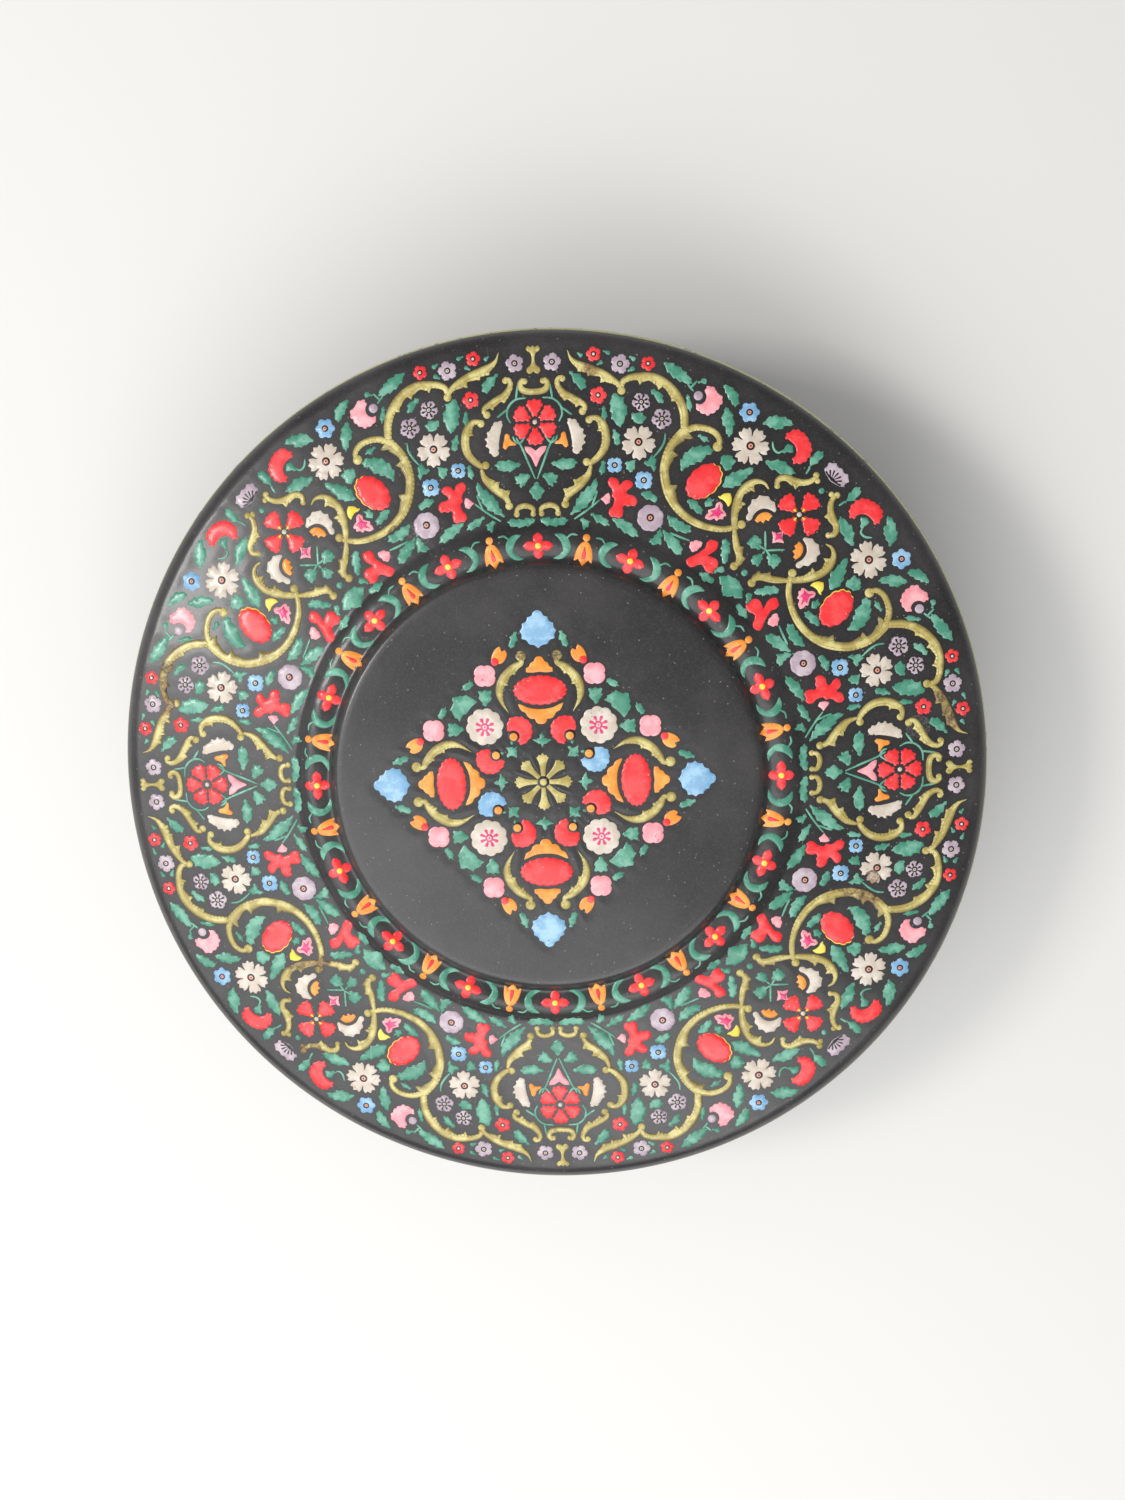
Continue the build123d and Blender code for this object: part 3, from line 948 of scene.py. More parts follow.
goldScrolls = [  # the line, widths along it, knobs, teeth, and the taper at each end
    ([(2.9, 114.4), (3.9, 113.2), (3.3, 111.6), (1.6, 111.0), (-0.2, 110.9)],
     [1.5, 1.8, 1.7], [(2.6, 113.9, 0.95)], [], (1, 1)),
    ([(8.2, 114.8), (7.0, 114.4), (6.7, 112.8), (8.3, 110.4), (10.6, 109.0), (12.8, 107.8), (14.3, 106.6),
      (14.4, 105.4)],
     [1.1, 1.6, 1.9, 2.0, 1.7, 1.3], [(8.1, 114.3, 1.0), (13.6, 105.0, 1.15)],
     [(8.7, 108.2, 3.2), (11.9, 106.3, 3.2)], (1, 1)),
    ([(15.6, 103.2), (17.6, 103.0), (19.3, 101.2), (20.0, 98.6), (19.9, 95.8), (18.8, 93.4), (16.9, 91.5),
      (15.2, 90.4)],
     [1.2, 1.9, 2.3, 2.4, 2.2, 1.9, 1.5], [(15.4, 102.6, 1.15), (14.4, 90.9, 1.2)], [(17.7, 99.4, 3.4)],
     (1, 1)),
    ([(15.6, 89.8), (14.8, 87.4), (12.9, 85.1), (10.8, 83.2), (8.9, 81.6), (8.1, 80.2)],
     [1.4, 2.1, 2.2, 1.9, 1.5], [(8.0, 79.3, 1.2)], [(10.5, 86.0, 3.8), (7.4, 83.3, 3.2)], (0.7, 1)),
    ([(1.2, 77.0), (1.1, 78.2), (2.5, 79.1), (4.2, 79.2), (5.6, 78.5), (6.0, 77.3)],
     [1.2, 1.5, 1.6, 1.5, 1.2], [(1.2, 76.9, 0.9), (5.9, 76.9, 0.95)], [], (1, 1)),
    ([(9.8, 122.0), (10.7, 119.8), (13.0, 117.9), (16.0, 116.7), (19.2, 115.4), (21.8, 113.9),
      (23.8, 112.2), (24.6, 110.9)],
     [1.0, 2.0, 2.4, 2.3, 2.1, 1.7, 1.4], [(24.7, 110.3, 1.25)],
     [(12.8, 116.2, -3.4), (15.4, 114.9, -3.8), (18.7, 113.0, -4.6)], (0.2, 1)),
    ([(24.7, 111.6), (25.2, 112.8), (26.8, 113.7), (29.8, 114.1), (33.0, 113.9), (35.9, 112.7),
      (38.6, 110.5), (40.8, 107.5), (42.1, 103.9), (42.3, 99.4)],
     [1.6, 2.0, 2.4, 2.5, 2.4, 2.2], [], [(30.0, 111.9, -3.2), (35.2, 110.3, 4.6), (38.9, 106.8, 4.6)],
     (1, 1)),
    ([(42.6, 98.7), (45.3, 99.4), (48.3, 99.0), (50.8, 97.7), (52.0, 95.8), (51.9, 94.3)],
     [2.0, 1.9, 1.8, 1.7, 1.5], [(51.4, 93.8, 1.45)], [], (1, 1)),
    ([(42.3, 99.2), (40.1, 96.9), (38.2, 94.2), (36.9, 91.0), (36.3, 87.5), (36.6, 84.2), (37.5, 80.8),
      (39.4, 77.5), (42.2, 74.6), (45.8, 72.4), (49.4, 71.2), (52.9, 70.8), (56.6, 71.4)],
     [2.1, 2.6, 2.6, 2.5, 2.3, 2.1, 1.8, 1.6], [(57.7, 71.9, 1.3)],
     [(44.6, 96.5, -6.0), (40.2, 91.9, -5.0), (39.7, 83.6, -6.0)], (0.8, 1)),
    ([(55.7, 71.0), (55.8, 74.4), (56.5, 78.0), (58.0, 81.2), (60.2, 83.1), (62.6, 83.8), (64.6, 83.1),
      (65.5, 81.7)],
     [1.8, 2.1, 2.2, 2.1, 1.8, 1.4], [], [(61.8, 81.0, 4.2), (58.9, 77.6, 3.4)], (0.9, 0.35)),
    ([(55.7, 71.2), (55.9, 68.4), (56.3, 65.6), (56.9, 63.0), (56.6, 61.4), (55.9, 60.6)],
     [1.5, 1.8, 2.0, 1.8, 1.4], [(55.4, 60.3, 1.25)], [(58.2, 65.6, -2.8), (58.6, 62.6, -2.6)], (0.7, 1)),
    ([(67.9, 82.2), (68.3, 84.0), (70.2, 84.6), (72.6, 83.7), (75.2, 83.0), (77.4, 83.3), (78.9, 84.3)],
     [1.3, 1.8, 2.0, 1.9, 1.7, 1.3], [(68.0, 82.3, 0.95), (79.1, 84.9, 1.0), (79.4, 83.3, 0.9)],
     [(73.2, 81.3, 3.2)], (1, 1)),
]


def drawGoldScrolls():
    pad("quarter", "gold", bothSides([
        (0, 123.9), (0.6, 123.4), (1.4, 123.9), (2.1, 123.1), (1.8, 122.2), (1.0, 121.8), (0.6, 121.0),
        (0.5, 119.6), (0.9, 118.4), (1.9, 117.5), (2.0, 116.5), (1.3, 115.8), (0.5, 116.0), (0, 116.5)
    ]), 0.22)
    for line, widths, balls, teeth, taper in goldScrolls:
        scroll("eighth", line, widths, balls, teeth, taper=taper)


def drawFlowers():
    for finish, x, y, radius, turn in (
            ("lilac", 5.3, 119.0, 2.75, 80), ("red", 17.1, 120.7, 2.25, 100), ("lilac", 24.5, 117.7, 2.9, 72),
            ("red", 32.4, 117.5, 2.2, 60), ("red", 18.1, 109.3, 2.6, 70)):
        blossom(finish, x, y, radius, 5, turn, 0.74, 0.08, 0.95 if finish == "lilac" else 0.82)
    for x, y, radius in ((30.2, 107.0, 2.75), (35.9, 102.1, 3.05)):
        pad("eighth", "lilac", notched(x, y, radius, 5, 45, 0.8, 0.07))
        for i in range(8):
            petal("eighth", "dark", x, y, 22.5 + 45 * i, 0.7, 2.25 if i % 2 else 1.95, 0.3, 0.0, 0.04, crest)
        eye("eighth", x, y, 0.9)
    blossom("cream", 29.2, 95.8, 5.1, 5, 56, 0.5, 0.13, 1.2, "peach", 95.9)
    blossom("cream", 60.7, 93.6, 5.6, 6, 50, 0.52, 0.13, 1.25, "peach", 93.7)
    blossom("blue", 22.3, 89.7, 2.5, 4, 45, 0.72, 0.1, 0.9)
    blossom("blue", 30.4, 85.2, 2.9, 4, 40, 0.74, 0.1, 0.95)
    blossom("blue", 60.6, 103.0, 3.05, 6, 60, 0.84, 0.06, 1.0, "peach")
    pad("eighth", "lilac", lobes(32.0, 74.6, 3.9, 8, 0.07, 60), drawn=False)
    eye("eighth", 32.0, 74.7, 1.15, finish="peach")
    for i in range(6):
        petal("quarter", "red", 0, 102.5, 90 + 60 * i, 1.35, 6.25, 2.35, frilled=True)
    disc("quarter", "cream", 0, 102.5, 0.75)
    for i in range(4):
        petal("quarter", "red", 74.1, 74.1, 45 + 90 * i, 1.25, 6.6, 2.75, frilled=True)
        petal("quarter", "yellow", 74.1, 74.1, 45 + 90 * i, 1.0, 2.2, 0.4, 0.0, 0.06, crest)
    disc("quarter", "cream", 74.1, 74.1, 0.8)


def drawBlooms():
    pad("eighth", "cream", [
        (9.0, 102.9), (10.3, 103.2), (11.6, 102.7), (12.5, 101.6), (12.7, 101.0), (13.7, 100.1),
        (13.7, 99.1), (14.4, 98.3), (13.9, 97.2), (14.2, 96.3), (13.3, 95.3), (13.2, 94.4), (12.1, 93.4),
        (11.0, 93.1), (10.4, 94.6), (10.3, 96.6), (10.0, 98.7), (9.5, 100.8)
    ], frill=(1.9, 0.5))
    pad("eighth", "orange", [
        (8.0, 99.7), (8.7, 99.3), (8.9, 98.1), (9.3, 96.7), (9.4, 95.6), (8.7, 95.0), (8.0, 95.4),
        (7.6, 96.0), (6.4, 96.1), (5.4, 96.1), (5.6, 96.9), (6.4, 97.3), (7.1, 98.1), (7.3, 99.1)
    ])
    pad("quarter", "pink", bothSides([
        (0, 94.7), (1.5, 95.7), (3.3, 95.9), (2.9, 94.5), (1.5, 92.8), (0.7, 91.1), (0, 89.6)
    ]))
    pad("eighth", "red", [
        (20.4, 85.4), (21.1, 86.3), (22.3, 86.0), (23.1, 85.4), (23.4, 84.1), (24.0, 84.3), (24.7, 85.1),
        (25.9, 85.3), (26.9, 84.9), (27.3, 84.1), (26.7, 83.3), (25.7, 82.7), (25.3, 81.9), (25.9, 81.3),
        (27.0, 81.1), (28.0, 80.3), (28.3, 79.1), (27.6, 78.1), (26.6, 78.4), (25.7, 78.1), (24.9, 78.6),
        (24.1, 78.0), (24.3, 76.9), (24.0, 75.4), (23.0, 74.9), (22.1, 75.4), (21.1, 75.3), (20.4, 76.1),
        (20.6, 77.4), (21.4, 78.1), (21.9, 79.3), (22.1, 80.4), (21.3, 81.1), (21.6, 82.1), (21.3, 83.3),
        (20.6, 84.1)
    ], grow=0.2)
    pad("eighth", "pink", [
        (17.8, 80.4), (18.7, 81.0), (19.6, 81.8), (20.5, 82.2), (20.9, 81.0), (20.7, 79.2), (19.4, 78.7),
        (18.8, 79.6)
    ])
    pad("eighth", "pink", [
        (48.4, 110.5), (49.8, 110.7), (51.2, 109.9), (51.8, 108.8), (52.9, 107.8), (53.1, 106.2),
        (52.3, 104.8), (51.4, 103.7), (50.1, 103.0), (48.7, 102.6), (47.4, 103.1), (46.2, 103.8),
        (45.4, 105.0), (45.7, 105.9), (46.9, 105.8), (48.1, 106.6), (48.5, 107.9), (48.2, 109.3)
    ], frill=(1.8, 0.5))
    disc("eighth", "lilac", 46.3, 108.1, 1.4)
    pad("eighth", "red", [
        (70.5, 96.6), (71.9, 97.2), (73.1, 97.9), (74.9, 97.4), (76.3, 96.2), (77.2, 94.8), (77.9, 93.0),
        (77.8, 91.1), (76.9, 89.6), (75.6, 88.5), (74.0, 88.2), (72.6, 88.4), (72.3, 89.6), (73.2, 90.6),
        (73.5, 92.1), (72.9, 93.6), (71.7, 94.7), (70.6, 95.3)
    ], frill=(1.8, 0.55))
    leaf("eighth", [
        (69.2, 91.6), (70.3, 93.2), (71.7, 94.0), (72.6, 93.4), (72.9, 92.3), (72.3, 91.4), (70.9, 91.4)
    ])
    # the scalloped oval, longer one way than the other and turned
    reaches = [(a, 0.92 + 0.1 * abs(math.cos(6 * a)) ** 0.6) for a in evenAngles(84)]
    flatOval = [(5.95 * reach * math.cos(a), 4.15 * reach * math.sin(a)) for a, reach in reaches]
    oval = [(47.3 + x, 84.3 + y) for x, y in clockwise(flatOval, -42)]
    pad("eighth", "red", oval, 0.24, drawn=False)
    pad("eighth", "yellow", [(x + 0.26, y) for x, y in oval], 0.1, drawn=False)
    pad("eighth", "yellow", [
        (50.9, 80.4), (51.9, 80.1), (52.7, 80.7), (53.7, 80.9), (54.8, 80.8), (55.2, 79.3), (54.8, 77.6),
        (54.0, 76.8), (53.4, 78.0), (52.6, 78.9), (51.7, 79.3)
    ])
    pad("eighth", "pink", [
        (51.8, 78.5), (52.5, 77.5), (52.4, 76.5), (53.3, 75.2), (53.5, 74.5), (52.7, 74.3), (52.5, 73.5),
        (51.5, 73.7), (50.7, 73.1), (50.1, 73.9), (48.8, 73.5), (47.5, 74.0), (47.8, 74.9), (48.5, 75.5),
        (48.4, 76.3), (49.5, 76.5), (50.5, 76.9), (50.7, 77.9)
    ], grow=0.15)
    pad("eighth", "magenta", [
        (51.7, 77.9), (51.7, 76.3), (52.8, 75.2), (51.8, 74.9), (51.2, 74.0), (50.5, 74.7), (48.5, 74.3),
        (49.7, 75.3), (49.1, 76.0), (50.5, 76.3)
    ], 0.05, crest, fine=False)
    pad("eighth", "red", [
        (42.1, 61.4), (41.9, 62.4), (42.8, 63.1), (43.9, 63.5), (45.1, 64.1), (46.4, 64.9), (47.5, 65.8),
        (47.9, 67.1), (48.9, 67.9), (50.1, 67.6), (50.9, 67.2), (50.8, 65.9), (50.1, 64.9), (48.9, 64.2),
        (47.9, 63.5), (48.9, 63.1), (50.2, 62.5), (50.8, 61.5), (50.5, 60.2), (49.8, 59.8), (49.2, 58.6),
        (48.1, 58.8), (47.2, 59.5), (46.9, 60.4), (46.2, 61.2), (45.1, 61.1), (44.1, 60.6), (42.9, 60.5)
    ], grow=0.2)
    pad("eighth", "pink", [
        (42.8, 67.3), (44.3, 67.9), (45.8, 67.8), (46.8, 67.0), (45.7, 65.6), (44.1, 64.5), (43.1, 65.2)
    ], frill=(1.7, 0.35))
    pad("eighth", "cream", [
        (59.2, 73.2), (59.1, 74.2), (59.8, 75.1), (59.6, 76.5), (60.5, 77.5), (60.8, 78.8), (62.1, 78.9),
        (62.9, 79.9), (64.2, 79.6), (65.5, 79.5), (66.1, 78.4), (67.2, 77.8), (67.4, 76.5), (67.6, 75.5),
        (67.2, 74.9), (66.4, 75.5), (64.9, 76.1), (63.5, 76.1), (62.2, 75.5), (61.2, 74.5), (60.5, 73.2),
        (59.8, 72.9)
    ], grow=0.14)
    pad("eighth", "orange", [
        (61.4, 72.9), (62.2, 74.2), (63.4, 75.0), (64.8, 75.2), (66.0, 74.7), (66.7, 73.9), (66.0, 73.3),
        (65.5, 72.4), (64.6, 72.9), (63.9, 71.8), (63.1, 72.6), (62.2, 72.1)
    ])
    pad("quarter", "pink", acrossDiagonal([
        (70.0, 70.0), (68.8, 69.5), (67.6, 69.3), (66.0, 70.0), (66.4, 68.6), (66.5, 67.9), (66.2, 66.2)
    ]))
    pad("quarter", "magenta", acrossDiagonal([
        (69.1, 69.1), (68.3, 68.9), (67.2, 69.2), (67.5, 68.3), (67.0, 67.0)
    ]), 0.05, crest, fine=False)
    pad("quarter", "lilac", acrossDiagonal([
        (83.0, 83.0), (82.2, 84.2), (81.5, 85.5), (81.3, 86.8), (82.2, 87.4), (82.6, 88.5), (83.8, 88.2),
        (84.9, 88.2), (85.3, 87.0), (86.5, 86.5)
    ]))
    for angle in (-25, -2, 21, 45, 69, 92, 115):
        petal("quarter", "dark", 83.1, 83.1, angle, 1.0, 3.2, 0.26, 0.0, 0.04, crest)
    pad("quarter", "dark", acrossDiagonal([
        (83.9, 83.9), (83.2, 84.4), (82.5, 85.2), (82.6, 84.4), (83.2, 83.2)
    ]), 0.04, crest, fine=False)
    disc("quarter", "green", 80.5, 80.5, 0.95)
    disc("quarter", "green", 58.3, 58.3, 1.05)


eighthLeaves = [
    [(9.8, 116.6), (11.4, 115.9), (13.4, 115.0), (14.6, 113.6), (15.0, 111.5), (13.7, 110.9), (12.3, 111.9),
     (11.1, 113.7)],
    [(22.4, 109.8), (23.5, 109.7), (24.2, 108.9), (25.6, 108.2), (25.4, 106.8), (26.4, 105.4),
     (25.9, 103.1), (24.9, 101.1), (24.2, 99.8), (23.1, 101.0), (21.9, 102.4), (21.5, 104.6), (21.4, 106.7),
     (21.9, 108.9)],
    [(27.2, 103.9), (28.5, 104.2), (30.3, 103.9), (31.8, 102.7), (31.0, 101.4), (29.2, 101.0), (27.8, 101.4)],
    [(32.7, 110.4), (34.6, 110.1), (36.0, 108.9), (36.8, 106.6), (36.0, 106.0), (34.8, 107.1), (33.8, 108.3)],
    [(22.1, 100.0), (23.1, 99.2), (24.0, 97.8), (24.0, 96.0), (23.1, 94.5), (22.3, 96.0), (21.9, 98.1)],
    [(19.2, 91.4), (19.8, 89.9), (19.2, 87.4), (18.2, 86.8), (18.0, 88.9), (18.5, 90.6)],
    [(25.1, 90.3), (26.7, 90.9), (28.4, 90.7), (28.0, 89.2), (27.4, 87.3), (26.0, 88.1)],
    [(30.2, 89.9), (31.7, 91.0), (33.1, 92.2), (34.2, 91.0), (33.9, 88.9), (33.3, 87.3), (32.1, 88.9)],
    [(29.4, 81.7), (31.0, 82.4), (32.8, 81.7), (34.7, 79.1), (33.1, 79.1), (31.4, 79.7), (29.9, 80.6)],
    [(4.0, 91.0), (6.4, 91.8), (8.9, 92.2), (10.6, 91.8), (12.2, 90.9), (10.6, 89.6), (8.9, 88.8),
     (6.7, 89.2), (5.3, 89.9)],
    [(1.6, 87.8), (3.4, 88.4), (6.3, 87.6), (5.8, 86.5), (6.1, 85.3), (4.9, 85.2), (4.3, 83.9), (3.2, 85.4),
     (2.0, 86.6)],
    [(9.0, 75.9), (10.4, 78.6), (11.6, 81.2), (13.8, 83.4), (15.6, 84.8), (17.0, 86.8), (17.4, 84.4),
     (16.8, 82.0), (15.4, 80.0), (14.4, 78.6), (12.0, 77.2)],
    [(12, 75.1), (13.4, 75.3), (14.9, 74), (14.5, 72.6), (13, 72.2), (12.4, 73.6)],
    [(14.7, 76.8), (17.2, 76.1), (19.3, 75.1), (20.9, 72.6), (18.8, 73), (16.8, 74)],
    [(0.5, 75.3), (2.2, 75.9), (4.3, 75.5), (7.2, 75.7), (9, 74.9), (7.6, 73.6), (4.3, 73.2), (1.8, 73.8)],
    [(20.9, 75.1), (23.8, 74.7), (26.3, 73.4), (28, 71.3), (28.8, 69.3), (26.3, 69.7), (23.8, 71.3),
     (22.2, 73)],
    [(35.3, 71.4), (37.2, 70.4), (39.4, 68.6), (40.8, 66.0), (40.6, 63.8), (39.0, 64.3), (37.2, 65.9),
     (35.8, 68.4)],
    [(35.0, 72.6), (35.3, 69.7), (34.9, 67.2), (33.0, 67), (30.9, 68), (32.7, 69.3), (34.2, 70.9)],
    [(36.7, 75.4), (38.6, 74.7), (40.8, 73.4), (43.2, 72.0), (43.7, 70.2), (41.1, 70.1), (39.0, 70.9),
     (37.2, 72.7)],
    [(36.6, 117.8), (38.6, 117.6), (41.5, 116), (44, 113.6), (45.1, 111.2), (42.6, 111.6), (40.0, 112.9),
     (37.7, 115.1)],
    [(45.9, 111.7), (47.5, 112.9), (49.6, 112.1), (48.2, 111.3)],
    [(53.3, 110.8), (54.5, 111.0), (55.5, 110.2), (56.9, 109.1), (57.7, 107.1), (57.4, 105.3),
     (56.5, 104.3), (55.4, 106.0), (54.1, 108.1)],
    [(53.9, 104.9), (55.1, 103.9), (56.1, 101.8), (56.3, 99.6), (55.4, 97.1), (54.7, 95.9), (54.0, 97.3),
     (53.4, 99.2), (52.7, 100.7), (53.2, 103.1)],
    [(63.9, 99.6), (65.4, 101.1), (67.6, 102.0), (69.7, 101.5), (71.9, 100.6), (73.3, 98.9), (71.1, 98.8),
     (69.0, 97.8), (66.9, 98.3), (65.4, 99.1)],
    [(52.2, 91.0), (54.0, 91.7), (55.3, 91.0), (56.7, 89.6), (55.8, 88.4), (54.7, 87.4), (53.4, 87.0),
     (52.4, 88.5)],
    [(41.0, 87.0), (40.7, 89.2), (41.4, 91.4), (42.8, 92.9), (44.7, 94.0), (46.9, 94.3), (49.0, 94.3),
     (50.4, 92.8), (49.4, 91.6), (47.9, 91.4), (47.2, 89.8), (45.8, 89.6), (44.7, 89.1), (42.9, 88.5)],
    [(45.7, 97.4), (47.2, 97.2), (49.0, 96.0), (49.5, 95.0), (47.9, 95.2), (46.5, 96)],
    [(52.4, 82.6), (53.6, 85.3), (55.4, 86.5), (57.6, 87.2), (59.7, 87.6), (61.8, 87.9), (60.8, 86.0),
     (59.0, 84.6), (57.6, 82.9), (55.4, 82.3), (53.6, 82.2)],
    [(64.6, 89.7), (66.9, 89.5), (69.0, 89.5), (70.8, 88.6), (72.2, 87.1), (73.7, 85.5), (71.5, 85.3),
     (69.4, 85.5), (67.2, 86.6), (65.4, 87.8)],
    [(47.3, 78.2), (48.3, 79.7), (50.4, 79.3), (49.4, 77.4), (47.9, 76.9)],
    [(42.3, 79.3), (44.0, 79.7), (45.8, 78.1), (46.9, 76.1), (46.6, 74.8), (44.7, 75.9), (43.2, 77.3)],
    [(52.2, 67.9), (53.6, 68.1), (54.5, 66.0), (54.0, 63.1), (52.9, 60.2), (51.8, 62.4), (51.8, 65.3)],
    [(49.4, 58.5), (50.5, 60.2), (53.4, 60.1), (51.9, 58.5)],
    [(45.3, 58.9), (47.3, 58.9), (48.8, 57.7), (50.3, 55.7), (47.8, 56), (46.1, 57)],
    [(76.8, 86.3), (77.2, 88.5), (77.9, 90.4), (79.7, 91.5), (81.5, 91.6), (80.8, 89.6), (79.7, 88.5),
     (78.3, 87.7)],
]
eighthBlades = [
    ((12.4, 121.4), (14.2, 119.9), 1.2), ((19.6, 121.6), (22.2, 120.5), 1.1),
    ((17.8, 117.6), (20, 118.8), 1.2), ((26.4, 115.5), (29, 116.7), 1.3),
    ((27.0, 119.8), (29.2, 118.4), 1.3), ((19.5, 106.6), (19.9, 101.6), 1.6),
    ((43.2, 109), (44, 103.3), 1.5),
]
eighthStems = [
    [(2.4, 109.3), (5.3, 108.9), (7.4, 106.9), (7.8, 104.5), (6.9, 102.5)], [(7.6, 106.4), (10.6, 104.2)],
    [(4.6, 112.9), (5.2, 108.9)], [(3, 98.3), (4.5, 96.8), (5.9, 97.6), (6.3, 98.7)],
    [(5.4, 98.3), (3.9, 95.6), (2.4, 91.9), (0.3, 86.7)],
    [(10.5, 75.1), (13.8, 77.2), (16.3, 79.0), (17.8, 80.2)], [(15.6, 78.6), (17.2, 82.6)],
    [(37.6, 70.3), (40.3, 69.0), (43, 67.9)], [(33.4, 91.6), (35.2, 93.6), (36.5, 95.8), (36.8, 98.0)],
    [(43.4, 111.4), (45.0, 109.4)], [(44.2, 110.4), (46.1, 112.2)],
    [(66.9, 94.6), (67.3, 92.5), (68.6, 91.5), (69.6, 92.0)], [(76.2, 85.4), (77.4, 87.2)],
    [(64.4, 64.4), (64.4, 67), (64.4, 69.8)], [(64.6, 64.6), (63.2, 65.4), (62.6, 66.0)],
    [(64.2, 64.2), (62.6, 62.6)],
]


def drawGreenery():
    for outline in eighthLeaves:
        leaf("eighth", outline)
    for start, end, width in eighthBlades:
        blade("eighth", start, end, width)
    for line in eighthStems:
        stem("eighth", line)
    leaf("quarter", bothSides([
        (0, 86.1), (1.0, 85.0), (1.8, 83.9), (2.2, 82.7), (1.4, 82.1), (0.9, 81.2), (0, 80.3)
    ]))
    leaf("quarter", acrossDiagonal([(56.4, 56.4), (53.4, 57.8), (50.8, 57.4), (51.6, 55.0), (51.9, 51.9)]))
    leaf("eighth", [
        (62.9, 64.6), (63.5, 66.5), (62.6, 68.5), (61.5, 68.7), (60.6, 68.3), (59.7, 67.6), (59.2, 66.4),
        (60.5, 65.2)
    ])
    leaf("quarter", acrossDiagonal([(63.4, 63.4), (61.6, 63.4), (60.1, 62.2), (60.6, 60.4), (61.2, 59.9)]))


def drawRing():
    # drawn at the top of the ring, where x runs along it
    quarter = [(0, 3.9), (1.1, 3.2), (1.55, 2.1), (1.3, 1.25), (2.0, 1.45), (3.2, 1.3), (4.5, 0)]
    right = quarter + [(x, -y) for x, y in reversed(quarter[:-1])]
    cross = right + [(-x, y) for x, y in reversed(right[1:-1])]
    pad("ring", "red", [(x, 67.9 + y) for x, y in cross])
    disc("ring", "yellow", 0, 67.9, 0.9, 0.08, crest)
    crescent = [
        (3.4, 64.3), (5.9, 63.8), (8, 64.7), (9.3, 66.8), (9, 69.3), (7.2, 71.1), (4.3, 71.3), (5.9, 69.7),
        (6.8, 68), (7, 66.3), (5.5, 65.1)
    ]
    for side in (1, -1):
        pad("ring", "green", [(x * side, y) for x, y in crescent])
        stem("ring", [(8.3 * side, 69.9), (9.7 * side, 70.9), (11.3 * side, 70.6)], 0.5)
    tulip = bothSides([
        (0, 70.3), (1.2, 69.6), (2.1, 68.0), (2.6, 66.0), (2.7, 63.7), (1.5, 64.7), (0.9, 63.9), (0, 62.9)
    ])
    half = 11.25  # degrees from a cross to the tulip beside it
    knob, heart = clockwise([(0, 71.1), (0, 68.6)], half)
    pad("ring", "orange", clockwise(tulip, half))
    disc("ring", "orange", *knob, 1.15)
    petal("ring", "red", *heart, -90 - half, 0.0, 3.6, 0.62, 0.0, 0.05, crest)


